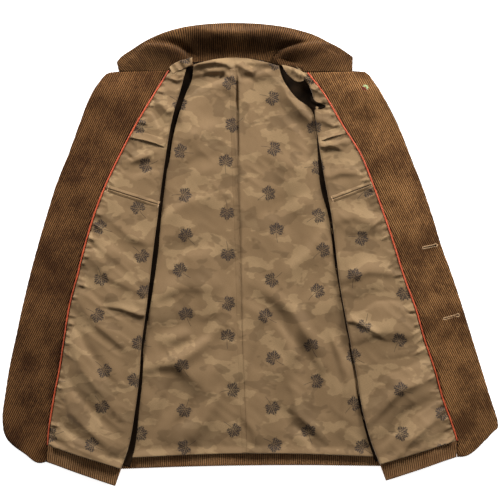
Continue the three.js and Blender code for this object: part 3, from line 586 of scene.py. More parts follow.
def back_lining_top(p):
    """The height of the back lining's upper side, which rises where its edge hangs over the hem."""
    free = back_lining_relief(p) + 1.2 * creased(BACK_CREASES, p) + creased(BACK_GROOVES, p)
    free = free + 1.2 * crumpled(p, 21)
    above = p[..., 1] - np.interp(p[..., 0], hem_line[:, 0], hem_line[:, 1])
    over_hem = HANG * ease(1 - above / HANG_REACH) * (1 + 0.5 * ripples(p, 50 * MM, 8))
    return np.maximum(free, back_top(p) + OVER_BACK) + over_hem


grid[..., 2] = back_lining_top(grid) - rolled(grid[..., 1] - grid[-1:, :, 1], 1.6 * MM)
back_lining = cloth("back_lining_cloth", "back_lining", grid, grid[..., :2], lining_print,
                    LINING_WALL)

# The tuck down the centre of the back lining.
# Ease for the shoulders: the lining is folded over itself, and the free edge of the fold stands a little off
# the cloth beneath, open below the collar and almost closed at the waist.
BACK_TUCK = [(-28.5, 341), (-27.5, 300), (-26, 220), (-24, 140), (-20, 60), (-17, -60), (-14, -180),
             (-8, -300), (-6, -366)]
FOLD_WALL = 0.5 * MM  # of narrow strips, such as folds and welts


def raised(flat, z):
    """Points of a plan, each with its height."""
    return np.concatenate([flat, z[..., None]], axis=2)


def tuck(name, path, width, lift, surface, turn_left=False):
    """A fold of a lining: a strip that leaves it on one side and ends in a free edge along a path."""
    path = np.array(path, float) * MM
    run = run_along(path)
    at = np.linspace(0, run[-1], max(12, round(run[-1] / (3 * MM))))
    line = np.column_stack([np.interp(at, run, path[:, k]) for k in (0, 1)])
    for _ in range(6):
        line[1:-1] = (line[:-2] + 2 * line[1:-1] + line[2:]) / 4
    way = unit(np.gradient(line, axis=0))
    aside = np.column_stack([way[:, 1], -way[:, 0]]) * (-1 if turn_left else 1)
    share = np.array([0, 0.15, 0.3, 0.45, 0.6, 0.72, 0.82, 0.9, 0.96, 1.0])
    flat = line[:, None] - aside[:, None] * (width * MM * (1 - share))[None, :, None]
    lifts = np.interp(at / run[-1], np.linspace(0, 1, len(lift)), lift) * MM
    height = lifts[:, None] * (0.55 * share + 0.45 * share ** 3)[None]
    z = surface(flat) + 0.15 * MM + height
    z[:, 0] -= 0.8 * MM
    grid = raised(flat, z)
    edge = grid[:, -1] + np.concatenate([-aside * 0.8 * MM, np.full((len(at), 1), -0.7 * MM)], axis=1)
    grid = np.concatenate([grid, edge[:, None]], axis=1)
    cut = grid[..., :2].copy()
    if not turn_left:
        grid, cut = grid[::-1], cut[::-1]
    made = cloth(name, None, grid, cut, lining_print, FOLD_WALL)


tuck("back_tuck", BACK_TUCK, 10, (6.5, 6.0, 5.0, 4.0, 3.2, 2.4, 1.8, 1.4, 1.0, 0.8), back_lining_top,
     True)

# The fronts.
# The outer cloth of each front lies face down on the table, turns under at the side fold, and comes back
# beneath itself to the side seam. The wales run down the front edge.
FRONTS = {  # one row for each station from gorge to hem
    "right": [
        ((-264, 335), (-149, 338), (-118, 348), (-236, 299)),
        ((-293, 293), (-177, 293), (-131, 299), (-245, 262)),
        ((-315, 238), (-210, 238), (-146, 247), (-241, 211)),
        ((-335, 183), (-239, 183), (-156, 190), (-250, 155)),
        ((-357, 128), (-265, 128), (-165, 128), (-272, 108)),
        ((-374, 73), (-287, 71), (-172, 71), (-280, 56)),
        ((-390, 17), (-304, 14), (-180, 10), (-285, 5)),
        ((-405, -38), (-318, -41), (-187, -49), (-289, -49)),
        ((-418, -93), (-333, -98), (-194, -108), (-293, -106)),
        ((-430, -148), (-342, -154), (-202, -167), (-294, -163)),
        ((-442, -203), (-351, -211), (-206, -225), (-296, -220)),
        ((-451, -259), (-362, -266), (-213, -282), (-298, -277)),
        ((-456, -305), (-370, -317), (-224, -347), (-300, -338)),
        ((-447, -341), (-373, -351), (-239, -393), (-300, -378)),
        ((-410, -371), (-375, -382), (-250, -425), (-300, -400)),
    ],
    "left": [
        ((215, 336), (106, 334), (86, 345), (224, 295)),
        ((243, 293), (138, 292), (116, 297), (236, 262)),
        ((272, 238), (171, 236), (123, 244), (232, 211)),
        ((294, 183), (204, 183), (131, 189), (241, 155)),
        ((316, 128), (226, 128), (142, 126), (261, 108)),
        ((335, 73), (247, 71), (153, 67), (270, 56)),
        ((352, 17), (266, 14), (160, 8), (276, 5)),
        ((372, -38), (283, -41), (167, -51), (280, -49)),
        ((390, -93), (304, -98), (177, -108), (283, -106)),
        ((407, -148), (320, -154), (188, -167), (287, -163)),
        ((424, -203), (339, -209), (199, -225), (291, -220)),
        ((441, -259), (354, -262), (208, -281), (293, -277)),
        ((457, -312), (372, -312), (224, -341), (294, -338)),
        ((447, -328), (381, -343), (241, -385), (294, -374)),
        ((424, -352), (381, -373), (252, -415), (294, -395)),
    ],
}
FRONTS = {side: named(("edge", "piping", "fold", "side"), table) for side, table in FRONTS.items()}
FOLD_RADIUS = 2.5 * MM
CORD_WALL = 1.8 * MM
WALE_TURN = {"right": math.radians(-26), "left": math.radians(27)}
UNDER_OVER_BACK = 6.4 * MM  # the under panel's middle over the back's upper side
LEVEL_AT_FOLD = 7 * MM  # this near to the side fold, cloth keeps one height


def turned(flat, angle):
    """The place on the cut of cloth whose grain is turned by an angle."""
    x, y = flat[..., 0], flat[..., 1]
    cosine, sine = math.cos(angle), math.sin(angle)
    return np.stack([x * cosine + y * sine, y * cosine - x * sine], axis=2)


def over_fold(table, v, start, across, height, radius, steps, under, corner=False):
    """Columns from a start curve to the side fold, round it, and under it as the function under gives them.
    Gives the points, and their places on the cloth laid flat. The start's upper corner may be rounded."""
    inward = unit(along(table, "fold", v) - along(table, "piping", v))
    turn = along(table, "fold", v) - inward * FOLD_RADIUS
    grid, flat = [], []
    length = np.linalg.norm(turn - start, axis=1)
    for share in across:
        p = start + (turn - start) * share
        held = start + (turn - start) * np.minimum(share, 1 - LEVEL_AT_FOLD / length)[:, None]
        grid.append(np.column_stack([p, height(held)]))
        flat.append(p)
    top = grid[-1][:, 2]
    way = np.sign((turn - start)[:, :1]) * [1, 0]
    for angle in np.linspace(0, math.pi, steps)[1:]:
        rim = turn + inward * radius * math.sin(angle)
        grid.append(np.column_stack([rim, top - radius * (1 - math.cos(angle))]))
        flat.append(turn + way * radius * angle)
    for p, z, beyond in under(turn, inward, top):
        grid.append(np.column_stack([p, z]))
        flat.append(turn + way * (radius * math.pi + beyond))
    grid, flat = np.stack(grid, axis=1), np.stack(flat, axis=1)
    if corner:
        shift = flat - grid[..., :2]
        rounded(grid)
        flat = shift + grid[..., :2]
    if grid[0, 0, 0] > grid[0, len(across) - 1, 0]:
        return grid[:, ::-1], flat[:, ::-1]
    return grid, flat


def rounded(grid, radius=9 * MM):
    """Rounds the first corner of a grid."""
    corner = grid[0, 0, :2].copy()
    basis = unit(np.stack([grid[0, -1, :2] - corner, grid[12, 0, :2] - corner]))
    share = (grid[..., :2] - corner) @ np.linalg.inv(basis)
    near = np.clip(radius - share, 0, None)
    length = np.maximum(np.linalg.norm(near, axis=2, keepdims=True), 1e-9)
    held = np.where((share < radius).all(axis=2, keepdims=True) & (length > radius),
                    radius - near * radius / length, share)
    grid[..., :2] = corner + held @ basis


front_tops = {side: relief(f"{side}_front") for side in FRONTS}
for side, table in FRONTS.items():
    v = spread(0.78, 14 * MM)
    edge, seam = along(table, "edge", v), along(table, "side", v)

    def outside(p):
        return front_tops[side](p) - CORD_WALL / 2

    def side_panel(turn, inward, top):
        """The panel under the fold, which comes down on the back on its way to the side seam."""
        reach = np.linalg.norm(seam - turn, axis=1)[:, None]
        for share in np.linspace(0, 1, 14)[1:]:
            p = turn + (seam - turn) * share
            level = ease(share * 3)
            z = (top - 2 * FOLD_RADIUS) * (1 - level) + (back_top(p) + UNDER_OVER_BACK) * level
            yield p, z, reach * share

    grid, flat = over_fold(table, v, edge, spread(0.2, 6 * MM), outside, FOLD_RADIUS, 7, side_panel,
                           corner=True)
    cut = turned(flat, WALE_TURN[side])
    front = wale_cloth(f"{side}_front_cloth", f"{side}_front", grid, cut, plain_cord, per_wale=3,
                       face_down=True)
    rests = ["floor", "back_cloth", "button_upper", "button_lower"][: 4 if side == "right" else 2]
    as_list(rests)

# The facings.
# A strip of corduroy inside each front edge, sewn to the front all round the edge and turned, with the lapel
# at its top. It is joined to the lining along the piping, and its wales run down at a slant.
# painted light and shade: one corduroy, as a shaded copy on the wearer's right and a lit copy on the left
FACING_LIT_AND_SHADED_TONES = {
    "right": (paint(12, 5, 2), paint(71, 43, 22), paint(120, 82, 47)),
    "left": (paint(18, 9, 4), paint(90, 59, 33), paint(150, 107, 65)),
}
FACING_CREASES = {
    "right": [
        ([(-290, 300), (-250, 285), (-205, 290)], 16, 1.6, 0.2),
        ([(-300, 262), (-260, 250), (-215, 262)], 14, -1.6, 0.2),
        ([(-320, 200), (-290, 215), (-250, 205)], 18, 1.4, 0.2),
    ],
    "left": [
        ([(135, 318), (170, 290), (215, 262)], 15, 1.8, 0.2),
        ([(160, 280), (200, 240), (235, 225)], 15, -1.8, 0.2),
        ([(205, 195), (245, 165), (290, 160)], 18, 1.4, 0.2),
    ],
}


def gap_from(grid, row):
    """How far each point lies from the first or the last row, 0 or -1, in its column."""
    return np.linalg.norm(grid[..., :2] - grid[row, None, :, :2], axis=2)


SEAM_IN = 2.7 * MM  # how far the piping holds the facing and the lining apart, each side
BULGE = 7 * MM  # of the rounded corner below
for side, table in FRONTS.items():
    v = spread(0.76, 6.5 * MM)
    edge, piping = along(table, "edge", v), along(table, "piping", v)
    gap = SEAM_IN - 2.0 * MM * ease((v - LINING_ENDS) / 0.02)
    piping = piping + unit(edge - piping) * gap[:, None]
    across = spread(0.1, 2.5 * MM)
    grid = np.zeros((len(v), len(across), 3))
    grid[..., :2] = edge[:, None] + (piping - edge)[:, None] * across[None, :, None]
    grid[..., 1] -= BULGE * np.sin(math.pi * across)[None] * v[:, None] ** 30
    rounded(grid)
    width = np.linalg.norm(piping - edge, axis=1)[:, None]
    waves = creased(FACING_CREASES[side], grid) + 0.7 * MM * ripples(grid, 55 * MM, 31, 0.3, 1.5)
    drop = rolled(across[None] * width, 2.2 * MM) + rolled((1 - across[None]) * width, 0.7 * MM)
    drop += rolled(gap_from(grid, 0), 1.8 * MM) + rolled(gap_from(grid, -1), 2 * MM)
    grid[..., 2] = relief(f"{side}_facing")(grid) - 0.5 * MM + waves - drop
    if side == "left":
        grid = grid[:, ::-1]
    # each facing takes its own copy of the corduroy, shaded on the right and lit on the left: painted light
    # and shade
    painted_light_tones = corduroy(f"corduroy_{side}_facing", *FACING_LIT_AND_SHADED_TONES[side])
    facing = wale_cloth(f"{side}_facing_cloth", f"{side}_facing", grid, turned(grid, WALE_TURN[side]), painted_light_tones)

# The piping.
# A thin cord in orange-red satin, caught in the seam between each facing and its lining.
PIPING_RADIUS = 1.1 * MM
dye = Dye("piping_satin", rough=0.45, sheen=0.2, shine=0.4)
u, w = dye.places()
twill = ((u * 1.0 + w * 1.3) * (2 * math.pi / (1.1 * MM))).do("SINE")
tone = dye.noise(u * 4, w, 120, detail=3)
bright = (tone * 0.7 + twill * 0.12 + 0.1).between(0.25, 0.75)
colour = dye.mix(bright, paint(172, 60, 24), paint(206, 94, 48))
satin = dye.wear(colour, twill * 0.4 + tone, 0.12 * MM)
for side, table in FRONTS.items():
    v = np.linspace(0, LINING_ENDS + 0.006, 300)
    line = along(table, "piping", v)
    down = np.stack([line[:, 1], 0 * line[:, 1]], axis=1)
    z = front_tops[side](line) + 0.9 * MM + PIPING_RADIUS
    line = np.column_stack([line, z + 0.25 * MM * ripples(down, 13 * MM, 3)])
    tangent = unit(np.gradient(line, axis=0))
    aside = unit(np.cross(tangent, [0, 0, 1.0]))
    upward = np.cross(aside, tangent)
    turns = np.linspace(0, 2 * math.pi, 13)
    grid = line[:, None] + PIPING_RADIUS * (aside[:, None] * np.cos(turns)[None, :, None]
                                            - upward[:, None] * np.sin(turns)[None, :, None])
    run = run_along(line)
    cut = np.stack(np.broadcast_arrays(turns[None] * PIPING_RADIUS, run[:, None]), axis=2)
    piping = cloth(f"{side}_piping_cord", f"{side}_piping", grid, cut, satin, FOLD_WALL)

# The hems of the fronts.
# The lower edge of each front's corduroy, turned up inside. It shows below the lining as a lighter strip,
# its corduroy coloured lighter than the same cloth elsewhere as a painted highlight.
FRONT_HEM_STARTS = 0.905  # from gorge to hem
HEM_TURN = {"right": 0.12, "left": -0.12}
HEM_RADIUS, HEM_UNDER = 4.3 * MM, 9 * MM  # how it goes round the side fold, outside the front


def turned_in(radius, depth):
    """What lies under a fold whose edge is turned in by a depth and no further."""
    def under(turn, inward, top):
        for share in (0.25, 0.6, 1.0):
            yield turn - inward * depth * share, top - 2 * radius, depth * share

    return under


for side, table in FRONTS.items():
    hem_rise = relief(f"{side}_front_hem")
    v = FRONT_HEM_STARTS + (1 - FRONT_HEM_STARTS) * spread(0.045, 4 * MM, first=False)
    piping, fold = along(table, "piping", v), along(table, "fold", v)
    start = piping + unit(fold - piping) * 0.6 * MM
    grid, flat = over_fold(table, v, start, spread(0.125, 3 * MM, last=False), hem_rise, HEM_RADIUS, 9,
                           turned_in(HEM_RADIUS, HEM_UNDER))
    grid[..., 2] -= rolled(gap_from(grid, -1), 2 * MM) + 0.7 * MM
    hem = wale_cloth(f"{side}_hem_cloth", f"{side}_front_hem", grid, turned(flat, HEM_TURN[side]), lit_hem_cord)

# The linings of the fronts.
# The same print, sewn to the facing along the piping, where small puckers hold it. It wraps the side fold
# and hangs a little over the hem.
FRONT_CREASES = {
    "right": [
        ([(-276, -94), (-236, -100), (-206, -111), (-186, -120)], 5, 4, 0.6),
        ([(-196, 285), (-178, 262), (-160, 238)], 6, -3.5, 0.4),
        ([(-154, 327), (-140, 321), (-122, 316)], 5, 6, 0.5),
        ([(-172, 285), (-150, 262), (-132, 258)], 8, 3.5, 0.3),
        ([(-180, 270), (-165, 240), (-150, 225)], 7, -2.9, 0.2),
        ([(-222, 170), (-200, 176), (-172, 190)], 8, 3.8, 0.3),
        ([(-215, 150), (-190, 160), (-165, 160)], 8, -3.2, 0.2),
        ([(-250, 60), (-215, 30), (-185, 20)], 12, 3.2, 0.3),
        ([(-290, 60), (-250, 20), (-200, -15)], 12, -3.2, 0.2),
        ([(-300, 5), (-260, -40), (-200, -70)], 12, 3.8, 0.3),
        ([(-310, -40), (-270, -90), (-205, -130)], 12, -3.5, 0.2),
        ([(-325, -75), (-280, -130), (-215, -180)], 11, 3.8, 0.3),
        ([(-330, -110), (-300, -170), (-250, -240)], 10, -4.2, 0.3),
        ([(-338, -140), (-310, -210), (-235, -300)], 11, 4.8, 0.3),
        ([(-345, -190), (-320, -250), (-245, -335)], 10, -4.2, 0.3),
        ([(-352, -225), (-330, -290), (-255, -360)], 11, 4.8, 0.4),
        ([(-362, -290), (-330, -325), (-290, -350)], 9, -3.5, 0.3),
        ([(-365, -322), (-330, -350), (-275, -372)], 9, 3.8, 0.3),
    ],
    "left": [
        ([(172, -114), (212, -133), (250, -156)], 5, 4, 0.6),
        ([(134, 195), (146, 200), (158, 197), (172, 188)], 4.5, 6, 0.5),
        ([(110, 284), (124, 277), (146, 281)], 4.5, 6, 0.5),
        ([(110, 318), (128, 300), (150, 282)], 7, 3.5, 0.3),
        ([(118, 290), (135, 270), (160, 262)], 7, -2.9, 0.2),
        ([(125, 250), (150, 238), (172, 236)], 7, 3.2, 0.3),
        ([(132, 196), (160, 205), (180, 206)], 9, 3.5, 0.4),
        ([(135, 180), (160, 186), (200, 178)], 8, -3.8, 0.3),
        ([(140, 140), (165, 150), (208, 150)], 9, 3.2, 0.3),
        ([(150, 60), (190, 70), (240, 50)], 12, 3.2, 0.2),
        ([(160, 10), (200, 30), (255, 20)], 12, -3.2, 0.2),
        ([(170, -50), (215, -30), (270, -35)], 12, 3.5, 0.3),
        ([(180, -110), (230, -80), (290, -80)], 12, -3.2, 0.2),
        ([(190, -160), (240, -140), (305, -150)], 12, 3.5, 0.3),
        ([(205, -250), (250, -210), (330, -190)], 12, -3.8, 0.2),
        ([(220, -310), (275, -250), (340, -225)], 11, 4.5, 0.4),
        ([(240, -350), (300, -290), (350, -262)], 10, -4.5, 0.3),
        ([(260, -380), (320, -320), (362, -290)], 10, 4.5, 0.4),
        ([(300, -382), (345, -350), (372, -325)], 8, -3.2, 0.3),
    ],
}
FRONT_LINING_ENDS = 13 / 14  # from gorge to hem
OVER_FRONT = 0.9 * MM  # the least that the lining lies over the front
WRAP_RADIUS, WRAP_UNDER = 5.0 * MM, 10 * MM  # how it goes round the side fold, outside the front
PUFF, PUFF_REACH = 5.5 * MM, 18 * MM  # its rise over the hem, and how far from its edge the rise begins
lining_tops = {}


def lining_surface(side):
    """The upper side of a front's lining: the CAD's form, its creases, and puckers along the piping."""
    rise = relief(f"{side}_front_lining")
    random = np.random.default_rng({"right": 4, "left": 9}[side])
    way = 1 if side == "right" else -1
    puckers = []
    for v in np.arange(0.03, FRONT_LINING_ENDS, 0.0155):
        x, y = along(FRONTS[side], "piping", [v + random.uniform(-0.006, 0.006)])[0] / MM
        reach, slope = random.uniform(7, 22), random.uniform(-1.2, 0.0)
        path = [(x + way * 1.0, y), (x + way * reach, y + reach * slope)]
        width = random.uniform(2.0, 3.2)
        puckers.append((path, width, random.choice([-1, -1, 1]) * random.uniform(2.0, 3.8), 0.3))
    table = FRONT_CREASES[side] + puckers

    def height(p):
        free = rise(p) + 1.25 * creased(table, p) + 1.2 * crumpled(p, 40)
        return np.maximum(free, front_tops[side](p) + OVER_FRONT)

    return height


for side, table in FRONTS.items():
    lining_tops[side] = lining_surface(side)
    v = FRONT_LINING_ENDS * spread(0.70, 2.1 * MM)
    piping, fold = along(table, "piping", v), along(table, "fold", v)
    start = piping + unit(fold - piping) * SEAM_IN
    across = spread(0.13, 3 * MM, last=False)
    grid, flat = over_fold(table, v, start, across, lining_tops[side], WRAP_RADIUS, 9,
                           turned_in(WRAP_RADIUS, WRAP_UNDER))
    end_gap = gap_from(grid, -1)
    uneven = 1 + 0.5 * ripples(grid, 40 * MM, 12)
    grid[..., 2] += PUFF * ease(1 - end_gap / PUFF_REACH) * uneven - rolled(end_gap, 1.6 * MM)
    lining = cloth(f"{side}_lining_cloth", f"{side}_front_lining", grid, flat, lining_print,
                   LINING_WALL)

# The painted shade beside the side folds.
# A strip of the dark lining material lies in the gap between each front's folded lining and that of the
# back:
# painted shade of the deep fold there.
SIDE_SHADE_STRIPS = {  # how far it shows beside the fold, one for each station of the front, in millimetres
    "right": (0, 0, 3, 8, 9, 9, 12, 11, 8.5, 8, 8.5, 10, 14, 17, 18),
    "left": (0, 0, 2, 7, 13, 8, 7, 6.5, 5.5, 6, 6, 6, 7, 9, 10),
}
SHADE_STRIP_SHOWS = 2.4 / 14, 12.84 / 14  # from and to these shares of the front's table
BENEATH = 4 * MM  # how far it goes on beneath the fold
for side, widths in SIDE_SHADE_STRIPS.items():
    table = [{**row, "shows": shows} for row, shows in zip(FRONTS[side], widths)]
    v = np.linspace(*SHADE_STRIP_SHOWS, 150)
    piping, fold, shows = (along(table, key, v) for key in ("piping", "fold", "shows"))
    share = np.array([0, 0.2, 0.4, 0.6, 0.8, 0.92, 1.0])[None, :, None]
    out = share * (shows[:, None] + BENEATH) - BENEATH
    grid = fold[:, None] + unit(fold - piping)[:, None] * out
    grid = raised(grid, back_lining_top(grid) + 0.7 * MM - 0.8 * MM * share[..., 0] ** 6)
    if side == "left":
        grid = grid[:, ::-1]
    # a dark strip where there is only the fold's shade: painted shade
    gap = cloth(f"{side}_side_shade_strip", None, grid, grid[..., :2], dark_lining_and_shade, wall=0.3 * MM)

# The shade at the corner of the left armhole.
# At its lower end a small pointed lap of the dark lining material lies over the lining of the front: painted
# shade of a fold there.
ARMHOLE_SHADE_HOOK = [((111, 292), (112, 270)), ((119, 283), (119, 266)), ((127, 278.5), (127, 266)),
                  ((134, 276), (134, 268)), ((139, 274), (139, 271))]
edge = np.linspace(0, 1, 12)
grid = strip(ARMHOLE_SHADE_HOOK, np.linspace(0, 1, 26), edge).transpose(1, 0, 2)
rim = 16 * MM * np.minimum(edge, 1 - edge)[:, None]
grid[..., 2] = lining_tops["left"](grid) + 1.0 * MM - rolled(rim, 1.2 * MM)
# painted shade: a dark lap where a fold's shade falls
corner = cloth("left_armhole_shade_hook", None, grid, grid[..., :2], dark_lining_and_shade, wall=0.4 * MM)

# The linings at the neck.
# A crumpled end of each front's lining shows between the collar's end and the dark armhole.
NECK_LININGS = {
    "right": [((-148, 344), (-142, 331)), ((-132, 354), (-127, 338)), ((-106, 362), (-106, 348))],
    "left": [((58, 348), (62, 340)), ((76, 344), (70, 329)), ((92, 338), (85, 317)),
             ((101, 332), (98, 318))],
}
NECK_LEVEL = 31 * MM  # just below the collar's roll
for side, ends in NECK_LININGS.items():
    grid = strip(ends, np.linspace(0, 1, 44), spread(0.025, 1.2 * MM)).transpose(1, 0, 2)
    inset = np.minimum(np.linspace(0, 1, len(grid)), np.linspace(1, 0, len(grid)))[:, None] * 22 * MM
    drop = rolled(inset, 3 * MM)
    z = NECK_LEVEL + 4 * MM * ripples(grid, 7 * MM, 33, 0.7, 2.4) - drop
    grid[..., 2] = np.maximum(z, lining_tops[side](grid) + 1.5 * MM - drop)
    bit = cloth(f"{side}_neck_lining", None, grid, grid[..., :2], lining_print, LINING_WALL)
    size = {"right": (0.046, 0.015), "left": (0.048, 0.022)}[side]

# The tucks across the chest.
# Each front's lining is folded over itself once between the piping and the armhole, above the pocket.
CHEST_TUCKS = {"right": [(-216, 214), (-193, 209.5), (-171, 203), (-157, 197)],
               "left": [(129, 208), (151, 216), (176, 222)]}
for side, path in CHEST_TUCKS.items():
    tuck(f"{side}_chest_tuck", path, 15, (1.5, 4.6, 4.8, 1.0), lining_tops[side])

# The inside pockets.
# Each chest pocket is a slit between two narrow welts of the lining's cloth, set into the lining.
POCKETS = {"right": ((-262, 121), (-167, 91)), "left": ((150, 101), (224, 129))}
WELT = 6 * MM
for side, ends in POCKETS.items():
    near, far = (np.array(p, float) * MM for p in ends)
    run = np.linspace(0, 1, 40)[None, :, None]
    down = unit(np.array([[far[1] - near[1], near[0] - far[0]]]))[0]
    for name, start in (("upper", -WELT - 0.5 * MM), ("lower", 0.5 * MM)):
        off = (start + WELT * spread(WELT, 1 * MM, False, False))[:, None, None]
        flat = near + (far - near) * run + down * off
        inner = np.abs(off[..., 0]) - 0.5 * MM + 0 * flat[..., 0]
        z = lining_tops[side](flat) - 0.2 * MM
        z += 2.1 * MM * (1 - inner / WELT) ** 0.8 - rolled(inner, 1.2 * MM)
        welt = cloth(f"{side}_welt_{name}", f"{side}_pocket_welt_{name}", raised(flat, z), flat + 0.033,
                     lining_print, FOLD_WALL)

# The collar.
# Two layers of corduroy, seamed round the outer edge and sewn to the neck. It lies open: the ends stand in a
# rounded roll over the lapels, and the middle sinks to the table behind the neck. The wales fan out.
COLLAR = [(-241, -245, 354), (-221, -236, 365), (-197, -213, 380), (-171, -188, 395), (-145, -160, 407),
          (-127, -132, 415), (-110, -105, 420), (-79, -74, 424), (-44, -37, 426), (0, 4, 425), (29, 37, 422),
          (52, 66, 418), (76, 92, 412), (98, 118, 404), (129, 144, 391), (162, 167, 379), (188, 189, 364)]
COLLAR_CREASES = [
    ([(-205, 372), (-188, 384), (-156, 382), (-138, 376), (-123, 369), (-114, 358), (-106, 342),
      (-100, 326)], 13, 12, -0.75),
    ([(-178, 393), (-152, 391), (-130, 384), (-112, 370), (-102, 354), (-94, 338)], 7, -10, 0.2),
    ([(-190, 392), (-155, 403), (-118, 412), (-96, 412), (-70, 408), (-20, 406), (8, 407), (30, 409),
      (60, 405), (95, 393), (130, 380)], 20, 27, -0.42),
    ([(-110, 366), (-60, 372), (0, 374), (50, 368), (80, 360)], 13, -6, 0.2),
    ([(-75, 410), (-50, 402), (-25, 410)], 8, 2.5, 0.2), ([(-10, 406), (20, 400), (45, 405)], 8, 2, -0.2),
    ([(150, 384), (122, 387), (98, 383), (70, 377), (54, 371), (46, 362), (56, 349),
      (66, 335)], 12, 12, 0.75),
    ([(110, 390), (86, 388), (56, 382), (38, 370), (34, 354)], 7, -9, 0.2),
    ([(58, 346), (78, 348), (100, 342)], 6, 3, 0.3), ([(64, 356), (84, 354), (100, 350)], 5, -3, 0.3),
    ([(-215, 372), (-190, 368), (-160, 366)], 10, -2, 0.2),
    ([(105, 366), (140, 372), (165, 368)], 10, -2, 0.2),
]
# painted shade: the collar's corduroy is a shaded copy, darker than the same cloth elsewhere
shaded_collar_tones = corduroy("corduroy_collar_shaded", paint(20, 10, 4), paint(75, 49, 27), paint(114, 80, 47))
rows = [{"x": x, "outer": (a, b)} for x, a, b in COLLAR]
v = spread(0.56, 5 * MM)
seam_x, outer = along(rows, "x", v)[:, 0], along(rows, "outer", v)
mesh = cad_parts["top_collar"].data
spots = np.zeros(3 * len(mesh.vertices))
mesh.vertices.foreach_get("co", spots)
spots = spots.reshape(-1, 3)
seam_y = np.array([spots[np.abs(spots[:, 0] - x) < 14 * MM, 1].min() for x in seam_x])
seam_y = np.convolve(np.pad(seam_y, 4, "edge"), np.ones(9) / 9, "valid")
seam = np.column_stack([seam_x, seam_y])
out = spread(0.09, 2.5 * MM)[::-1][:, None]
reach = np.linalg.norm(outer - seam, axis=1)[None]
height = reach * out
line = seam[None] + (outer - seam)[None] * out[..., None]
run = run_along((seam + outer) / 2)[None]
drop = sum(rolled(gap) for gap in (reach - height, height, run + 0 * height, run[:, -1:] - run + 0 * height))
flat = np.stack([run + 0.35 * (1 - 2 * v)[None] * (height - reach / 2), height], axis=2)
form = creased(COLLAR_CREASES, line) + 0.5 * MM * ripples(line, 40 * MM, 7)
z = np.maximum(relief("top_collar")(line) - 0.5 * MM + form, 3.4 * MM) - drop
top_collar = wale_cloth("top_collar_cloth", "top_collar", raised(line, z), flat, shaded_collar_tones)
z = np.maximum(relief("under_collar", from_above=False)(line) + WALE_HEIGHT + 0.8 * form, WALE_HEIGHT)
under_collar = wale_cloth("under_collar_cloth", "under_collar", raised(line, z), flat, shaded_collar_tones,
                          per_wale=3, face_down=True)

# The sewing.
# Two keyhole buttonholes in tan thread and a worked eyelet on the left front, and bar tacks at the ends of
# the pockets: rows of short stitches that lie on the cloth.
BUTTONHOLES = [((318.3, 12.0), (344.1, 17.5)), ((357.0, -118.7), (384.6, -111.3))]
EYELET = (211.6, 306.4)


def lying(*names):
    """The height of the upper side of these pieces at a point, in metres."""
    trees = [faces_of(bpy.data.objects[name].data) for name in names]

    def height(x, y):
        hits = [tree.ray_cast(Vector((x, y, 1)), Vector((0, 0, -1)))[0] for tree in trees]
        return max([hit.z for hit in hits if hit], default=0.0)

    return height


def stitch_nodes():
    """A group that lays a stitch across a path at each step of its length."""
    tree = bpy.data.node_groups.new("stitches", "GeometryNodeTree")
    for label, kind in (("Path", "Geometry"), ("Spacing", "Float"), ("Size", "Vector"), ("Turn", "Float"),
                        ("Thread", "Material"), ("Seed", "Int")):
        tree.interface.new_socket(name=label, in_out="INPUT", socket_type="NodeSocket" + kind)
    tree.interface.new_socket(name="Stitches", in_out="OUTPUT", socket_type="NodeSocketGeometry")

    def add(kind, sockets=None, settings=None, output=0):
        return add_node(tree, kind, settings, sockets).outputs[output]

    given = add_node(tree, "NodeGroupInput").outputs
    curve = add("GeometryNodeMeshToCurve", {"Mesh": given["Path"]})
    curve = add("GeometryNodeResampleCurve", {"Curve": curve, "Length": given["Spacing"]},
                {"mode": "LENGTH"})
    tangent = add("GeometryNodeInputTangent")
    turn = add("FunctionNodeAlignRotationToVector", {"Vector": tangent}, {"axis": "X", "pivot_axis": "Z"})
    either_way = {2: -0.18, 3: 0.18, "Seed": given["Seed"]}
    chance = add("FunctionNodeRandomValue", either_way, {"data_type": "FLOAT"}, 1)
    angle = add("ShaderNodeMath", {0: given["Turn"], 1: chance}, {"operation": "ADD"})
    euler = add("ShaderNodeCombineXYZ", {"Z": angle})
    turn = add("FunctionNodeRotateRotation", {0: turn, 1: euler}, {"rotation_space": "LOCAL"})
    stitch = add("GeometryNodeMeshIcoSphere", {"Radius": 0.5, "Subdivisions": 2})
    stitch = add("GeometryNodeTransform", {"Geometry": stitch, "Scale": given["Size"]})
    laid = add("GeometryNodeInstanceOnPoints", {"Points": curve, "Instance": stitch, "Rotation": turn})
    laid = add("GeometryNodeRealizeInstances", {0: laid})
    laid = add("GeometryNodeSetMaterial", {"Geometry": laid, "Material": given["Thread"]})
    add_node(tree, "NodeGroupOutput", None, {0: laid})
    return tree


STITCHES = stitch_nodes()


def sewn(name, path, height, thread, spacing=0.9, size=(2.4, 0.75, 0.7), turn=math.pi / 2, closed=True):
    """Stitches along a path of points in millimetres, baked to a mesh."""
    path = np.array(path, float) * MM
    spots = [(x, y, height(x, y) + 0.15 * MM) for x, y in path]
    edges = [(k, k + 1) for k in range(len(spots) - 1)] + ([(len(spots) - 1, 0)] if closed else [])
    mesh = bpy.data.meshes.new(name)
    mesh.from_pydata(spots, edges, [])
    row = placed(name, mesh)
    nodes = row.modifiers.new("stitches", "NODES")
    nodes.node_group = STITCHES
    size = [k * MM for k in size]
    values = {"Spacing": spacing * MM, "Size": size, "Turn": turn, "Thread": thread, "Seed": 3}
    for item in STITCHES.interface.items_tree:
        if item.name in values:
            nodes[item.identifier] = values[item.name]
    row.data = bpy.data.meshes.new_from_object(row.evaluated_get(bpy.context.evaluated_depsgraph_get()))
    row.modifiers.clear()
    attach(row, "root")
    return row


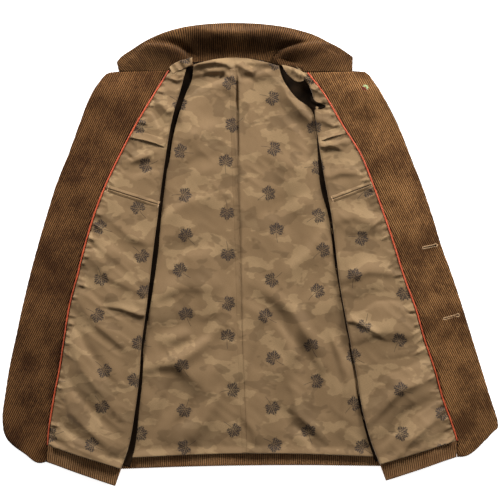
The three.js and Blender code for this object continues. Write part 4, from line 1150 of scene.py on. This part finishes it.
def thread(name, dark, light):
    dye = Dye(name, rough=0.6, sheen=0.1)
    px, py = dye.spots()
    twist = dye.noise(px, py, 900, detail=2)
    return dye.wear(dye.mix(twist.between(0.3, 0.7), dark, light), twist, 0.1 * MM)


def axes(start, end):
    """The directions along a line and to its left."""
    way = (end - start) / np.linalg.norm(end - start)
    return way, np.array([-way[1], way[0]])


tan_thread = thread("tan_thread", paint(156, 122, 86), paint(204, 170, 130))
left_cloth = lying("left_facing_cloth")
for number, (inner, outer) in enumerate(BUTTONHOLES, 1):
    inner, outer = np.array(inner), np.array(outer)
    run = np.linalg.norm(outer - inner)
    way, aside = axes(inner, outer)
    loop = [(0, 1.7), (run - 5, 1.7), (run - 2.5, 3.0), (run, 2.6), (run + 1.4, 0), (run, -2.6),
            (run - 2.5, -3.0), (run - 5, -1.7), (0, -1.7), (-0.8, 0)]
    sewn(f"buttonhole_{number}", [inner + a * way + b * aside for a, b in loop], left_cloth, tan_thread)
    # painted shade: a dark quad of the dark lining material in each slit, for the shade inside the opening
    slit = bpy.data.meshes.new(f"buttonhole_slit_shade_{number}")
    ends = [inner + a * way + b * aside for a, b in ((0, 0.6), (0, -0.6), (run - 1, -0.9), (run - 1, 0.9))]
    corners = [(x * MM, y * MM, left_cloth(x * MM, y * MM) + 0.1 * MM) for x, y in ends]
    slit.from_pydata(corners, [], [(0, 1, 2, 3)])
    slit.materials.append(dark_lining_and_shade)
    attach(placed(slit.name, slit), "root")

green_thread = thread("green_thread", paint(140, 160, 104), paint(196, 208, 160))
red_thread = thread("red_thread", paint(84, 20, 20), paint(128, 40, 36))
for name, start, end, strand in (("eyelet_upper", -0.9, 2.6, green_thread),
                                 ("eyelet_lower", 2.7, 5.3, red_thread)):
    turns = np.linspace(start, end, 18)
    ring = [(EYELET[0] + 4.2 * math.cos(t), EYELET[1] + 3.6 * math.sin(t)) for t in turns]
    sewn(name, ring, left_cloth, strand, spacing=0.8, size=(4.6, 0.9, 0.8), closed=False)
for side, ends in POCKETS.items():
    top = lying(f"{side}_lining_cloth", f"{side}_welt_upper", f"{side}_welt_lower")
    near, far = (np.array(p, float) for p in ends)
    way, aside = axes(near, far)
    for place, end, sign in (("near", near, 1), ("far", far, -1)):
        tack = [end + sign * 1.2 * way + k * aside for k in np.linspace(-5.5, 5.5, 9)]
        sewn(f"{side}_pocket_tack_{place}", tack, top, tan_thread, spacing=0.7, size=(2.0, 0.7, 0.6),
             closed=False)

# The buttons.
# Two horn buttons, turned discs with a raised rim, sewn to the outside of the right front beneath it.
dye = Dye("horn", rough=0.3, shine=0.5)
px, py = dye.spots()
grain = dye.noise(px, py * 3, 90, detail=4, distortion=1.2)
colour = dye.mix(grain.between(0.35, 0.7), paint(38, 24, 14), paint(104, 70, 42))
horn = dye.wear(colour, grain, 0.05 * MM)
for name in ("button_upper", "button_lower"):
    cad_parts[name].material_slots[0].material = horn

# The floor, the light and the camera.
# The jacket lies on a plain pale floor under soft studio light that comes mostly from the collar's side.
# The camera looks straight down on it through a long lens, from where the photograph was taken.
FLOOR_HALF = 4
floor_dye = Dye("floor_paint", rough=0.8)
floor_dye.skin.inputs["Base Color"].default_value = paint(250, 250, 250)
floor_dye.skin.inputs["Emission Color"].default_value = (1, 1, 1, 1)
floor_dye.skin.inputs["Emission Strength"].default_value = 0.85
floor_mesh = bpy.data.meshes.new("floor")
corners = [(a * FLOOR_HALF, b * FLOOR_HALF, -0.2 * MM) for a, b in ((-1, -1), (1, -1), (1, 1), (-1, 1))]
floor_mesh.from_pydata(corners, [], [(0, 1, 2, 3)])
floor_mesh.materials.append(floor_dye.material)
floor = placed("floor", floor_mesh)

for name, place, size, power in (
    ("left_window", (-1.3, 1.9, 1.1), 0.7, 78),
    ("right_window", (1.6, 1.5, 1.1), 0.7, 70),
    ("top_box", (0.3, -0.2, 2.6), 1.2, 6),
):
    lamp = bpy.data.lights.new(name, "AREA")
    lamp.size, lamp.energy = size, power
    lamp_object = placed(name, lamp)
    lamp_object.location = place
    lamp_object.rotation_euler = (-Vector(place)).to_track_quat("-Z", "Y").to_euler()
world = bpy.data.worlds.new("studio")
world.use_nodes = True
world.node_tree.nodes["Background"].inputs["Color"].default_value = (1, 1, 1, 1)
world.node_tree.nodes["Background"].inputs["Strength"].default_value = 0.1
bpy.context.scene.world = world
bpy.context.scene.view_settings.view_transform = "Standard"

VIEW_WIDTH = 0.92
LENS_HEIGHT = 5.0
SENSOR = 36
camera = placed("camera", bpy.data.cameras.new("camera"))
camera.data.sensor_width = SENSOR
camera.data.lens = SENSOR * LENS_HEIGHT / VIEW_WIDTH
camera.location = (0, 0.0083, LENS_HEIGHT + 0.012)  # over the photograph's middle
camera.data.clip_end = 50
bpy.context.scene.camera = camera
